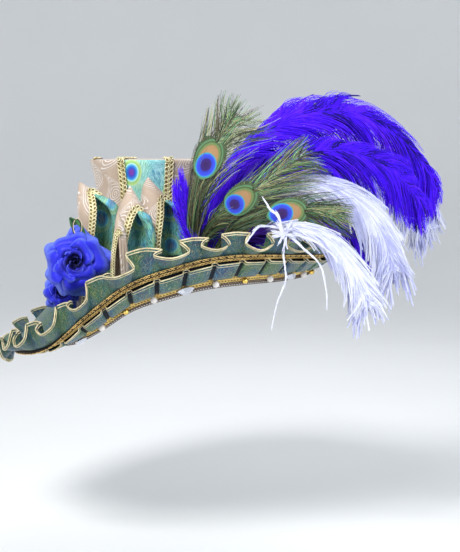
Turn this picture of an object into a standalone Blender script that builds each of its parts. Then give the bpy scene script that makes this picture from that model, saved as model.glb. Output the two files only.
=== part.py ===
"""Frill brim hat: a bell crown in panels, a swept brim with two ruffles, gimp braids, beads,
folded cloth points, cloth roses, peacock feathers and ostrich plumes.

Sizes and places are millimetres, turned to metres by MM. +Z is the crown's axis, -X the hat's front
and -Y the trimmed side. The origin is the middle of the head opening, at the crown's foot.
Angles are degrees round +Z from +X, the back of the hat.
"""

import math

import bmesh
import bpy
from mathutils import Vector

MM = 0.001
GAP = 0.3
TOUCH = 1e-7

# Crown: one row for each level of the outer wall
CROWN_HEIGHT = 130.0
CROWN_WALL = 2.6
CROWN_COLUMNS = 32
CROWN_LEVELS = (
    # height, half_length, half_width
    (-40.0, 100.0, 86.0),
    (0.0, 99.5, 85.5),
    (15.0, 93.0, 80.0),
    (50.0, 86.0, 75.0),
    (77.0, 87.5, 76.5),
    (104.0, 91.5, 80.0),
    (130.0, 97.5, 85.0),
)
CROWN_TOP_RISE = 2.0
CROWN_TOP_FALL = 0.5

# Six gimp braids stand on the crown, between three printed and three brocade panels
FIRST_SEAM = -124.0
PRINTED_PANEL = 47.0
BROCADE_PANEL = 73.0
SEAM_BRAID_WIDTH = 13.0
SEAM_BRAID_THICK = 3.0
SEAM_BRAID_FOLD = 12.0
SEAM_BRAID_OFF = 0.6
SEAM_BRAID_FOOT = 2.5
SEAM_BRAID_LIFT = 1.3

# Brim: an oval sheet, swept down in front, whose outer band turns up at the sides and back
BRIM_CENTRE = 24.0
BRIM_HALF_LENGTH = 236.0
BRIM_HALF_WIDTH = 245.0
BRIM_WALL = 2.4
BRIM_COLUMNS = 60
BAND_WIDTH = 28.0
BORDER_BLEND = 0.45
SEAT_HEIGHT = -12.0
SEAT_SLOPE = 14.0
BRIM_EDGE = (
    # x, height of the brim's edge
    (-212.0, -146.0),
    (-150.0, -125.0),
    (-90.0, -75.0),
    (-40.0, -37.0),
    (20.0, -13.0),
    (80.0, 1.0),
    (150.0, 3.0),
    (260.0, -5.0),
)
BRIM_SHARES = (0.0, 0.4, 0.8, 1.0)
BAND = (
    # angle from the back, rise from the band's inner border to the edge, slope at the edge
    (0.0, 20.0, 0.5),
    (25.0, 23.0, 0.55),
    (51.0, 29.0, 0.7),
    (72.0, 32.0, 1.25),
    (93.0, 28.0, 1.4),
    (113.0, 17.0, 0.9),
    (134.0, -8.0, -0.3),
    (155.0, -26.0, -1.1),
    (180.0, -33.0, -1.6),
)

# Ruffles
UPPER_FLUTES = 26
UPPER_COLUMNS = 5
UPPER_WAVE = 8.0
UPPER_SWAY = 7.0
UPPER_SEAT = 0.8
UPPER_FLAT = 4.5
UPPER_SCALLOP = 3.5
UPPER_STAND = (
    # angle from the back, slope that the ruffle stands at, its width
    (0.0, 0.5, 32.0),
    (25.0, 0.55, 32.0),
    (51.0, 0.8, 32.0),
    (72.0, 1.35, 32.0),
    (93.0, 1.7, 32.0),
    (113.0, 1.7, 32.0),
    (134.0, 1.4, 31.0),
    (155.0, 0.9, 27.0),
    (168.0, 0.0, 24.0),
    (180.0, -1.2, 25.0),
)
UPPER_CLOTH = 1.5
LOWER_PLEATS = 40
LOWER_CLOTH = 1.4
LOWER_SEAT = 1.6
LOWER_FROM = 0.19
LOWER_TO = 0.85
LOWER_GATHER = 0.35
LOWER_DIP = 0.9
LOWER_PLEAT = (
    # share of the pleat, height of its lip off the brim
    (0.04, 0.9),
    (0.12, 6.0),
    (0.92, 5.0),
)

# Braids on the brim's underside, and the beads sewn to the inner one
EDGE_GIMP_HALF = 3.4
EDGE_GIMP_THICK = 2.6
EDGE_GIMP_SEAT = 1.0
BEAD_BRAID_HALF = 4.2
BEAD_BRAID_THICK = 3.0
BEAD_BRAID_SEAT = 0.7
BEAD_REPEATS = 8
BEAD_KINDS = ("crystal", "pearl", "gold", "pearl")
BEAD_STEP = 0.5
BEAD_SINK = 0.6
PEARL_RADIUS = 4.8
GOLD_RADIUS = 4.3
BEAD_SHARE = 0.35
CRYSTAL_LENGTH = 24.0
CRYSTAL_WIDTH = 14.0
CRYSTAL_DEPTH = 7.0
CRYSTAL_INSET = 3.4
CRYSTAL_SEAT = 0.65
CRYSTAL_FACETS = 10
CRYSTAL_RINGS = (
    # share of the half sizes, share of the depth: back, girdle and table
    (0.6, 0.0),
    (1.0, 0.35),
    (0.55, 1.0),
)

# Folded cloth points in front of the crown
POINT_CLOTH = 1.8
POINT_COLUMNS = 8
POINT_SEAT = 1.9
POINTS = {
    # height of the tip, way that the mouth faces, its half angle and top, how far its lip rolls out,
    # and stations up the point: level, middle x and y, half length and half width
    "left": dict(
        tip=98, mouth=-58, spread=48, top=0.9, roll=6.0,
        stations=((0.0, -88, -98, 25, 22), (0.3, -86, -97, 23, 20), (0.56, -84, -96, 23, 20),
                  (0.76, -87, -95, 24, 19), (0.9, -97, -91, 14, 11), (1.0, -108, -88, 2, 2))),
    "middle": dict(
        tip=93, mouth=-62, spread=46, top=0.74, roll=6.0,
        stations=((0.0, -36, -131, 28, 15), (0.3, -36, -128, 25.5, 14.5), (0.56, -36, -125, 23, 13.5),
                  (0.76, -36, -122, 17.5, 11), (0.9, -36, -119.5, 8, 6), (1.0, -36, -118, 2, 2))),
    "right": dict(
        tip=105, mouth=-50, spread=44, top=0.74, roll=6.0,
        stations=((0.0, 10, -107, 32, 17), (0.3, 8, -105, 30, 16.5), (0.56, 5, -103, 27, 15),
                  (0.76, -3, -100, 18, 11.5), (0.9, -9, -98, 9, 6.5), (1.0, -11, -97, 2, 2))),
    "front": dict(
        tip=57, mouth=-100, spread=20, top=0.78, roll=1.5,
        stations=((0.0, -49, -161, 12, 8), (0.3, -49.6, -160, 11.5, 8), (0.56, -50.4, -159, 10.5, 7.5),
                  (0.76, -50, -158, 8, 6), (0.9, -51, -157.5, 4.5, 3.5), (1.0, -52, -157, 2, 2))),
}
MOUTH_LEAST = 5.0
ROLL_TURN = 4.0
ROLL_END = 0.8
POINT_GIMP_OFF = 1.6
POINT_GIMP_WIDTH = 6.0
POINT_GIMP_THICK = 3.0

# Cloth roses: one row each
ROSES = {
    "large": dict(centre=(-110, -147, -16), radius=48, depth=26, petals=5, columns=20),
    "small": dict(centre=(-133.3, -103.3, -58.2), radius=24, depth=15, petals=4, columns=14),
}
ROSE_RINGS = (
    # share of the radius, share of the depth, lift of the petals
    (1.00, 0.00, 0.10),
    (0.86, 0.42, 0.08),
    (0.62, 0.40, 0.06),
    (0.50, 0.62, 0.05),
    (0.24, 0.40, 0.00),
)
ROSE_FACES = (-0.18, -0.97, 0.14)
ROSE_CALYX = 0.9
ROSE_HEART = 0.55
ROSE_PHASE = 9.0
ROSE_CLEAR = 1.5
LEAF_CLOTH = 1.0
LEAF_KEEL = 1.2
LEAF_SIDE = (0.86, 0.0, 0.51)
LEAF_STATIONS = (
    # x, y, z, half width
    (-100.4, -136.8, 20.4, 3.0),
    (-106.4, -135.8, 30.4, 7.5),
    (-113.0, -131.5, 41.0, 7.0),
    (-120.0, -131.5, 50.0, 1.2),
)

# The pad that holds the quills, and the feathers
PAD_ANGLES = (-67.0, -60.0, -53.0, -46.0)
PAD_SHARES = (0.3, 0.4, 0.6, 0.8, 0.95)
PAD_THICK = 11.0
PAD_SEAT = 0.9
QUILL_HALF = 1.6
RUN_STEP = 0.01
LOCK_CURVE = 1.6
BACKING_SHARE = 0.26
LOCK_LEAN = 0.8
PLUME_LOCKS = 5
FEATHER_LOCKS = 4
LOCK_ROWS = (
    # share of the lock's length, share of its root width
    (0.55, 0.78),
    (1.0, 0.14),
)
PLUMES = {
    # root on the pad by angle, radius and height, places that the spine passes, half widths at
    # equal steps from the quill, thickness, way it faces, how far its locks droop
    "blue_plume_top": dict(
        root=(-57.0, 131.0, -0.7),
        spine=((64, -97, 42), (106, -88, 119), (173, -66, 180), (263, -40, 202), (343, -22, 180),
               (402, -10, 124), (428, -6, 82)),
        widths=(8, 36, 46, 44, 30), thick=5.0, face=(0.10, -0.75, 0.66), droop=22.0),
    "blue_plume_middle": dict(
        root=(-62.0, 133.0, 0.5),
        spine=((61, -114, 30), (126, -122, 98), (203, -122, 136), (275, -112, 142), (343, -98, 112),
               (385, -90, 66)),
        widths=(8, 30, 40, 38, 26), thick=5.0, face=(0.10, -0.75, 0.66), droop=18.0),
    "blue_plume_lower": dict(
        root=(-55.0, 138.0, 0.3),
        spine=((84, -114, 8), (167, -136, 44), (249, -148, 62), (304, -148, 32), (326, -144, -8)),
        widths=(5, 20, 33, 30, 16), thick=4.5, face=(0.30, -0.88, 0.30), droop=12.0),
    "white_plume_top": dict(
        root=(-50.0, 133.0, 0.0),
        spine=((82, -86, 16), (160, -54, 80), (266, -12, 122), (355, 14, 94), (402, 24, 54),
               (424, 28, 16)),
        widths=(6, 26, 42, 42, 28), thick=5.0, face=(0.15, -0.75, 0.64), droop=20.0),
    "white_plume_middle": dict(
        root=(-64.5, 140.0, 0.3),
        spine=((64, -129, 22), (130, -152, 72), (205, -165, 98), (262, -169, 84), (302, -168, 46),
               (323, -166, 2), (332, -163, -46)),
        widths=(6, 24, 32, 32, 20), thick=4.0, face=(0.05, -0.92, 0.38), droop=9.0),
    "white_plume_front": dict(
        root=(-58.0, 186.0, -0.3),
        spine=((108, -176, 12), (143, -206, 34), (182, -232, 42), (231, -236, 24), (266, -228, -20),
               (285, -219, -62), (291, -215, -90)),
        widths=(4, 10, 26, 28, 16), thick=4.0, face=(0.12, -0.99, 0.08), droop=9.0),
    "peacock_feather_upright": dict(
        root=(-66.0, 148.0, -0.3),
        spine=((52, -146, 26), (56, -158, 76), (72, -162, 131), (97, -161, 173), (113, -158, 197)),
        widths=(6, 20, 27, 22, 12), thick=2.2, face=(0.0, -1.0, 0.1), droop=4.0),
    "peacock_feather_middle": dict(
        root=(-64.0, 162.0, -0.3),
        spine=((68, -158, 20), (84, -169, 50), (113, -176, 73), (157, -178, 105), (206, -172, 139)),
        widths=(6, 18, 24, 22, 12), thick=2.2, face=(0.0, -1.0, 0.1), droop=4.0),
    "peacock_feather_low": dict(
        root=(-61.0, 174.0, -0.2),
        spine=((86, -166, 10), (112, -184, 38), (166, -194, 56), (212, -195, 60), (250, -190, 56)),
        widths=(5, 16, 24, 18, 10), thick=2.2, face=(0.0, -1.0, 0.1), droop=4.0),
}
TUFT_KNOT = (171.2, -230.0, 38.0)
TUFT_RADIUS = 8.0
TUFT_THICK = 3.0
TUFT_CORNERS = (-120.0, -70.0, -20.0, 30.0, 90.0, 170.0)
FROND_HALF = 2.6
FROND_TAPER = 0.5
TUFT_FRONDS = (
    # side of the knot, then the places that the frond passes
    (0, ((169, -243, 8), (171, -246, -28), (160, -246, -60), (153, -245, -94))),
    (1, ((192, -243, 16), (216, -246, -8), (225, -246, -40), (227, -245, -66))),
    (2, ((196, -242, 28), (214, -244, 20), (232, -244, 6), (238, -244, -2))),
    (3, ((162, -240, 54), (154, -242, 62), (148, -242, 70), (144, -242, 76))),
    (4, ((150, -240, 42), (137, -248, 42), (128, -251, 34), (122, -252, 26))),
)

FINISHES = {
    # red, green, blue, roughness, metallic
    "taupe_brocade": (0.46, 0.38, 0.32, 0.7, 0.0),
    "peacock_print": (0.03, 0.20, 0.22, 0.6, 0.0),
    "gold_braid": (0.80, 0.62, 0.26, 0.4, 0.6),
    "dark_gold_braid": (0.38, 0.25, 0.08, 0.45, 0.6),
    "pearl": (0.90, 0.86, 0.80, 0.25, 0.0),
    "crystal": (0.85, 0.88, 0.90, 0.05, 0.0),
    "rose_cloth": (0.06, 0.05, 0.75, 0.6, 0.0),
    "leaf_cloth": (0.10, 0.30, 0.08, 0.6, 0.0),
    "blue_feather": (0.08, 0.02, 0.85, 0.8, 0.0),
    "white_feather": (0.90, 0.90, 0.92, 0.8, 0.0),
    "peacock_feather": (0.16, 0.17, 0.07, 0.6, 0.0),
}


def between(table, at):
    """A smooth reading of a table whose rows are sorted by their first column."""
    keys = [row[0] for row in table]
    at = min(max(at, keys[0]), keys[-1])
    i = max(k for k in range(len(table) - 1) if keys[k] <= at)
    t = (at - keys[i]) / (keys[i + 1] - keys[i])
    values = []
    for column in range(1, len(table[0])):
        def slope(k):
            before, after = max(k - 1, 0), min(k + 1, len(table) - 1)
            return (table[after][column] - table[before][column]) / (keys[after] - keys[before])

        span = keys[i + 1] - keys[i]
        ends = table[i][column], table[i + 1][column]
        values.append(hermite(t, *ends, slope(i) * span, slope(i + 1) * span))
    return values if len(values) > 1 else values[0]


def hermite(t, start, end, start_slope, end_slope):
    """A cubic from start to end, with its slopes over the whole step."""
    return (
        (2 * t**3 - 3 * t**2 + 1) * start
        + (t**3 - 2 * t**2 + t) * start_slope
        + (3 * t**2 - 2 * t**3) * end
        + (t**3 - t**2) * end_slope
    )


def along(points, share):
    """A place on the smooth curve through some points, at a share of its steps."""
    table = [(i, *point) for i, point in enumerate(points)]
    return Vector(between(table, share * (len(points) - 1)))


def oval_radius(angle, half_length, half_width, centre=0.0):
    """Distance from the axis to an oval, along an angle."""
    c, s = math.cos(math.radians(angle)), math.sin(math.radians(angle))
    a = (c / half_length) ** 2 + (s / half_width) ** 2
    b = -2 * c * centre / half_length**2
    k = (centre / half_length) ** 2 - 1
    return (-b + math.sqrt(b * b - 4 * a * k)) / (2 * a)


def polar(angle, radius, height):
    """A place from its angle, distance from the axis and height."""
    return Vector((radius * math.cos(math.radians(angle)), radius * math.sin(math.radians(angle)), height))


def crown_radius(angle, height):
    """Outer radius of the crown at an angle and height."""
    return oval_radius(angle, *between(CROWN_LEVELS, height))


def seat_height(angle):
    """Height where the brim meets the crown."""
    return SEAT_HEIGHT + SEAT_SLOPE * math.cos(math.radians(angle))


def hole_radius(angle):
    """Inner radius of the brim, just clear of the crown."""
    return oval_radius(angle, CROWN_LEVELS[0][1] + GAP, CROWN_LEVELS[0][2] + GAP)


def edge_radius(angle):
    """Radius of the brim's edge."""
    return oval_radius(angle, BRIM_HALF_LENGTH, BRIM_HALF_WIDTH, BRIM_CENTRE)


def brim_height(angle, radius):
    """Height of the middle of the brim's cloth, and beyond its edge of the ruffle that runs on."""
    hole, edge = hole_radius(angle), edge_radius(angle)
    border = edge - BAND_WIDTH
    turned = abs((angle + 180.0) % 360.0 - 180.0)
    edge_height = between(BRIM_EDGE, edge * math.cos(math.radians(angle)))
    rise, edge_slope = between(BAND, turned)
    border_height = edge_height - rise
    inner_slope = (border_height - seat_height(angle)) / (border - hole)
    border_slope = (1 - BORDER_BLEND) * inner_slope + BORDER_BLEND * rise / BAND_WIDTH
    if radius <= border:
        run = border - hole
        t = (radius - hole) / run
        return hermite(t, seat_height(angle), border_height, inner_slope * run, border_slope * run)
    t = min((radius - border) / BAND_WIDTH, 1.0)
    height = hermite(t, border_height, edge_height, border_slope * BAND_WIDTH, edge_slope * BAND_WIDTH)
    return height + max(radius - edge, 0.0) * edge_slope


def brim_up(angle, radius):
    """The way straight up off the brim's surface."""
    step = 0.5
    outwards = polar(angle, radius + step, brim_height(angle, radius + step))
    outwards -= polar(angle, radius - step, brim_height(angle, radius - step))
    round_it = polar(angle + step, radius, brim_height(angle + step, radius))
    round_it -= polar(angle - step, radius, brim_height(angle - step, radius))
    return outwards.cross(round_it).normalized()


def on_brim(angle, radius, off):
    """A place off the middle of the brim's cloth, upwards where off is positive."""
    return polar(angle, radius, brim_height(angle, radius)) + brim_up(angle, radius) * off


def brim_radii(angle):
    """Radii of the brim's rings of points, from its hole to its edge."""
    hole, edge = hole_radius(angle), edge_radius(angle)
    border = edge - BAND_WIDTH
    return [*(hole + share * (border - hole) for share in BRIM_SHARES), (border + edge) / 2, edge]


def facet_height(angle, radius):
    """Height of the brim as built, straight between its rings of points."""
    radii = brim_radii(angle)
    radius = min(max(radius, radii[0]), radii[-1])
    i = max(k for k in range(len(radii) - 1) if radii[k] <= radius)
    t = (radius - radii[i]) / (radii[i + 1] - radii[i])
    return (1 - t) * brim_height(angle, radii[i]) + t * brim_height(angle, radii[i + 1])


def brim_top(x, y):
    """Height of the brim's upper face under a place."""
    angle, radius = math.degrees(math.atan2(y, x)), math.hypot(x, y)
    step = 360.0 / BRIM_COLUMNS
    before = math.floor(angle / step) * step
    t = (angle - before) / step
    middle = (1 - t) * facet_height(before, radius) + t * facet_height(before + step, radius)
    return middle + BRIM_WALL / 2 / brim_up(angle, max(radius, hole_radius(angle) + 1)).z


def finish(name):
    """The material of a finish, made once."""
    material = bpy.data.materials.get(name)
    if material is None:
        material = bpy.data.materials.new(name)
        material.use_nodes = True
        shader = material.node_tree.nodes["Principled BSDF"]
        red, green, blue, roughness, metallic = FINISHES[name]
        shader.inputs["Base Color"].default_value = (red, green, blue, 1.0)
        shader.inputs["Roughness"].default_value = roughness
        shader.inputs["Metallic"].default_value = metallic
    return material


def add_part(name, mesh_data, look, collection="frill_brim_hat"):
    """A finished bmesh in millimetres becomes a named object."""
    bmesh.ops.scale(mesh_data, vec=(MM, MM, MM), verts=mesh_data.verts)
    bmesh.ops.remove_doubles(mesh_data, verts=mesh_data.verts, dist=TOUCH)
    bmesh.ops.recalc_face_normals(mesh_data, faces=mesh_data.faces)
    closed = all(edge.is_manifold for edge in mesh_data.edges)
    if closed and mesh_data.calc_volume(signed=True) < 0:
        bmesh.ops.reverse_faces(mesh_data, faces=mesh_data.faces)
    mesh = bpy.data.meshes.new(name)
    mesh_data.to_mesh(mesh)
    mesh_data.free()
    mesh.materials.append(finish(look))
    part = bpy.data.objects.new(name, mesh)
    bpy.data.collections[collection].objects.link(part)
    return part


def lofted(sections, closed_round=False, closed_along=False):
    """A bmesh through sections of equal count; closed_along joins the last section to the first."""
    mesh_data = bmesh.new()
    rows = [[mesh_data.verts.new(point) for point in section] for section in sections]
    count = len(rows[0])
    for i in range(len(rows) if closed_along else len(rows) - 1):
        here, there = rows[i], rows[(i + 1) % len(rows)]
        for j in range(count if closed_round else count - 1):
            k = (j + 1) % count
            mesh_data.faces.new((here[j], here[k], there[k], there[j]))
    if closed_round and not closed_along:
        mesh_data.faces.new(rows[0])
        mesh_data.faces.new(list(reversed(rows[-1])))
    return mesh_data


def solid(name, sections, look, closed_along=False):
    """A closed body through closed sections."""
    return add_part(name, lofted(sections, closed_round=True, closed_along=closed_along), look)


def cloth(part, thickness):
    """Gives an open sheet its thickness."""
    shell = part.modifiers.new("thickness", "SOLIDIFY")
    shell.thickness = thickness * MM
    shell.offset = 0.0
    return part


def round_angles(count):
    """Evenly spaced angles of a whole turn."""
    return [360.0 * i / count for i in range(count)]


def crown():
    """The hollow bell crown, open below, cut along the brim's seat."""
    levels = [row[0] for row in CROWN_LEVELS[2:]]
    sections = []
    for angle in round_angles(CROWN_COLUMNS):
        foot = seat_height(angle) - BRIM_WALL / 2
        top, rim = CROWN_HEIGHT + CROWN_TOP_RISE, crown_radius(angle, CROWN_HEIGHT)
        outer, inner = [], []
        for height in (foot, *levels):
            radius = crown_radius(angle, height)
            outer.append(polar(angle, radius, height))
            inner.append(polar(angle, radius - CROWN_WALL, min(height, CROWN_HEIGHT - CROWN_WALL)))
        half_way = top - CROWN_TOP_FALL
        roof = [polar(angle, rim / 2, half_way), Vector((0, 0, top))]
        ceiling = [polar(angle, rim / 2, half_way - CROWN_WALL), Vector((0, 0, top - CROWN_WALL))]
        sections.append([*outer, *roof, *reversed([*inner, *ceiling])])
    mesh_data = lofted(sections, closed_along=True)
    # The foot's rim joins the outer wall to the inner one
    count = len(sections[0])
    mesh_data.verts.ensure_lookup_table()
    for i in range(CROWN_COLUMNS):
        here, there = i * count, ((i + 1) % CROWN_COLUMNS) * count
        ring = (here, there, there + count - 1, here + count - 1)
        mesh_data.faces.new([mesh_data.verts[v] for v in ring])
    return add_part("crown", mesh_data, "taupe_brocade")


def seam_braids():
    """Gimp braids up the crown's seams, folded over its top edge."""
    angle = FIRST_SEAM
    for number in range(6):
        sections = []
        centre = math.radians(angle)
        across = Vector((-math.sin(centre), math.cos(centre), 0.0)) * SEAM_BRAID_WIDTH / 2
        foot = seat_height(angle) + BRIM_WALL / 2 + SEAM_BRAID_FOOT
        heights = [foot, *[row[0] for row in CROWN_LEVELS[2:-1]], CROWN_HEIGHT + GAP]
        for height in heights:
            inner = crown_radius(angle, height) + SEAM_BRAID_OFF
            outer = inner + SEAM_BRAID_THICK
            rise = SEAM_BRAID_THICK if height > CROWN_HEIGHT else 0.0
            ends = (polar(angle, inner, height), polar(angle, outer, height + rise))
            sections.append([ends[0] - across, ends[0] + across, ends[1] + across, ends[1] - across])
        rim = crown_radius(angle, CROWN_HEIGHT) - SEAM_BRAID_FOLD
        low = CROWN_HEIGHT + SEAM_BRAID_LIFT
        ends = (polar(angle, rim, low), polar(angle, rim, low + SEAM_BRAID_THICK))
        sections.append([ends[0] - across, ends[0] + across, ends[1] + across, ends[1] - across])
        solid(f"seam_braid_{number + 1}", sections, "gold_braid")
        angle += PRINTED_PANEL if number % 2 == 0 else BROCADE_PANEL


def brim():
    """The brim's stiff cloth, from the crown's foot to its edge."""
    sections = []
    for angle in round_angles(BRIM_COLUMNS):
        radii = brim_radii(angle)
        upper = [on_brim(angle, radius, BRIM_WALL / 2) for radius in radii]
        lower = [on_brim(angle, radius, -BRIM_WALL / 2) for radius in radii]
        upper[0].xy = lower[0].xy = polar(angle, radii[0], 0).xy
        sections.append([*upper, *reversed(lower)])
    return solid("brim", sections, "peacock_print", closed_along=True)


def upper_frill():
    """The fluted ruffle that runs on outwards from the brim's edge, each flute's sides near upright."""
    sections = []
    for angle in round_angles(UPPER_FLUTES * UPPER_COLUMNS):
        edge = edge_radius(angle)
        turned = abs((angle + 180.0) % 360.0 - 180.0)
        slope, width = between(UPPER_STAND, turned)
        outward = polar(angle, 1.0, slope).normalized()
        sideways = Vector((-math.sin(math.radians(angle)), math.cos(math.radians(angle)), 0.0))
        turn = math.radians(angle) * UPPER_FLUTES
        wave = outward.cross(sideways) * UPPER_WAVE * math.sin(turn)
        wave -= sideways * UPPER_SWAY * math.sin(2 * turn)
        band = (on_brim(angle, edge + 1.0, 0.0) - on_brim(angle, edge, 0.0)).normalized()
        root = on_brim(angle, edge, 0.0) + band * UPPER_SEAT
        flat = root + outward * UPPER_FLAT
        lip = root + outward * (width - UPPER_SCALLOP * math.sin(turn)) + wave
        sections.append([root, flat, lip])
    sheet = lofted(sections, closed_along=True)
    bmesh.ops.triangulate(sheet, faces=sheet.faces)
    return cloth(add_part("upper_frill", sheet, "peacock_print"), UPPER_CLOTH)


def lower_frill():
    """The box-pleated ruffle on the band's underside."""
    sections = []
    for pleat in range(LOWER_PLEATS):
        for share, height in LOWER_PLEAT:
            angle = 360.0 * (pleat + share) / LOWER_PLEATS
            border = edge_radius(angle) - BAND_WIDTH
            start, end = border + LOWER_FROM * BAND_WIDTH, border + LOWER_TO * BAND_WIDTH
            near = BRIM_WALL / 2 + LOWER_SEAT
            gathered, lip = near + LOWER_GATHER * height, near + height - LOWER_DIP
            sections.append([
                on_brim(angle, start, -near),
                on_brim(angle, end, -lip),
                on_brim(angle, end, -(lip + LOWER_CLOTH)),
                on_brim(angle, start, -(gathered + LOWER_CLOTH)),
            ])
    return solid("lower_frill", sections, "peacock_print", closed_along=True)


def flat_braid(middle, half, inner, thick):
    """Sections of a braid under the brim, along a radius given for each angle."""
    sections = []
    for angle in round_angles(BRIM_COLUMNS):
        radius = middle(angle)
        slope = (on_brim(angle, radius + 1, 0) - on_brim(angle, radius - 1, 0)).normalized()
        reach = half * math.hypot(slope.x, slope.y)
        inside, outside, outer = radius - reach, radius + reach, inner + thick
        ends = ((inside, inner), (outside, inner), (outside, outer), (inside, outer))
        sections.append([on_brim(angle, r, -off) for r, off in ends])
    return sections


def edge_gimp():
    """The dark gold gimp over the seam of brim and ruffle."""
    sections = flat_braid(edge_radius, EDGE_GIMP_HALF, BRIM_WALL / 2 + EDGE_GIMP_SEAT, EDGE_GIMP_THICK)
    return solid("edge_gimp", sections, "dark_gold_braid", closed_along=True)


def border_radius(angle):
    """Radius of the line between the brim and its turned band."""
    return edge_radius(angle) - BAND_WIDTH


def bead_angles():
    """Angle and kind of each bead, evenly spaced along the braid."""
    angles = [i * BEAD_STEP for i in range(int(360 / BEAD_STEP) + 1)]
    run, runs = 0.0, [0.0]
    for here, there in zip(angles, angles[1:]):
        ends = [on_brim(angle, border_radius(angle), 0.0) for angle in (here, there)]
        run += (ends[1] - ends[0]).length
        runs.append(run)
    beads = []
    count = BEAD_REPEATS * len(BEAD_KINDS)
    for number in range(count):
        wanted = run * (number + 0.5) / count
        i = max(k for k in range(len(runs) - 1) if runs[k] <= wanted)
        part_step = (wanted - runs[i]) / (runs[i + 1] - runs[i])
        beads.append((angles[i] + BEAD_STEP * part_step, BEAD_KINDS[number % len(BEAD_KINDS)]))
    return beads


def braid_face(angle):
    """Inner and outer corner of the bead braid's face, and the way out of the brim at the outer one."""
    radius, off = border_radius(angle), -(BRIM_WALL / 2 + BEAD_BRAID_SEAT + BEAD_BRAID_THICK)
    slope = (on_brim(angle, radius + 1, 0) - on_brim(angle, radius - 1, 0)).normalized()
    reach = BEAD_BRAID_HALF * math.hypot(slope.x, slope.y)
    return on_brim(angle, radius - reach, off), on_brim(angle, radius + reach, off), -brim_up(angle, radius + reach)


def bead_braid():
    """The bright gold braid, with its pearls and gold beads sewn fast to its face."""
    inner = BRIM_WALL / 2 + BEAD_BRAID_SEAT
    sections = flat_braid(border_radius, BEAD_BRAID_HALF, inner, BEAD_BRAID_THICK)
    braid = solid("bead_braid", sections, "gold_braid", closed_along=True)
    beads = bmesh.new()
    for angle, kind in bead_angles():
        if kind == "crystal":
            continue
        radius = PEARL_RADIUS if kind == "pearl" else GOLD_RADIUS
        inside, outside, _ = braid_face(angle)
        around = polar(angle + 90.0, 1.0, 0.0)
        out = (outside - inside).cross(around).normalized()
        out = out if out.z < 0 else -out
        place = outside.lerp(inside, BEAD_SHARE) + out * (radius - BEAD_SINK)
        made = bmesh.ops.create_uvsphere(beads, u_segments=10, v_segments=4, radius=radius)
        bmesh.ops.translate(beads, verts=made["verts"], vec=place)
    cutter = add_part("bead_shapes", beads, "pearl", "cutters")
    cutter.hide_render = True
    cutter.display_type = "WIRE"
    join = braid.modifiers.new("beads", "BOOLEAN")
    join.operation = "UNION"
    join.solver = "EXACT"
    join.object = cutter
    return braid


def crystals():
    """Oval cut stones over the braid, each with a table and facets round it."""
    number = 0
    for angle, kind in bead_angles():
        if kind != "crystal":
            continue
        number += 1
        _, corner, out = braid_face(angle)
        run = braid_face(angle + 1)[1] - braid_face(angle - 1)[1]
        run = (run - out * run.dot(out)).normalized()
        across = out.cross(run)
        across = across if across.dot(polar(angle, 1.0, 0.0)) > 0 else -across
        base = corner - across * CRYSTAL_INSET + out * CRYSTAL_SEAT
        sections = []
        for share, depth in CRYSTAL_RINGS:
            ring = []
            for turn in round_angles(CRYSTAL_FACETS):
                x = CRYSTAL_LENGTH / 2 * share * math.cos(math.radians(turn))
                y = CRYSTAL_WIDTH / 2 * share * math.sin(math.radians(turn))
                ring.append(base + run * x + across * y + out * CRYSTAL_DEPTH * depth)
            sections.append(ring)
        solid(f"crystal_{number}", sections, "crystal")


def point_place(spec, level, turn, reach=0.0):
    """A place on a folded point: its level from foot to tip and the angle round it."""
    middle_x, middle_y, half_x, half_y = between(spec["stations"], level)
    x = middle_x + (half_x + reach) * math.cos(math.radians(turn))
    y = middle_y + (half_y + reach) * math.sin(math.radians(turn))
    seat = brim_top(x, y) + POINT_SEAT
    return Vector((x, y, seat + (spec["tip"] - seat) * level))


def mouth_half(spec, level):
    """Half the angle that a folded point stands open at a level, an arch up to its top."""
    return MOUTH_LEAST + spec["spread"] * math.sqrt(max(0.0, 1 - (level / spec["top"]) ** 2))


def folded_points():
    """Cloth points in front of the crown, with a gimp along one edge of each mouth."""
    for name, spec in POINTS.items():
        rows, edging = [], []
        for level, _, _, half_length, _ in spec["stations"]:
            half = mouth_half(spec, level)
            first, last = spec["mouth"] - half, spec["mouth"] + half - 360.0
            turns = [first + (last - first) * i / (POINT_COLUMNS - 1) for i in range(POINT_COLUMNS)]
            row = [point_place(spec, level, turn) for turn in turns]
            roll = spec["roll"] if level < spec["top"] else ROLL_END
            rows.append([*row, point_place(spec, level, last - ROLL_TURN, roll)])
            if level < 1:
                inner, outer = POINT_GIMP_OFF, POINT_GIMP_OFF + POINT_GIMP_THICK
                back = math.degrees(POINT_GIMP_WIDTH / max(half_length, POINT_GIMP_WIDTH))
                pairs = ((first, inner), (first - back, inner), (first - back, outer), (first, outer))
                edging.append([point_place(spec, level, turn, reach) for turn, reach in pairs])
        mesh_data = lofted(rows)
        cloth(add_part(f"folded_point_{name}", mesh_data, "taupe_brocade"), POINT_CLOTH)
        solid(f"point_gimp_{name}", edging, "gold_braid")


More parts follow.
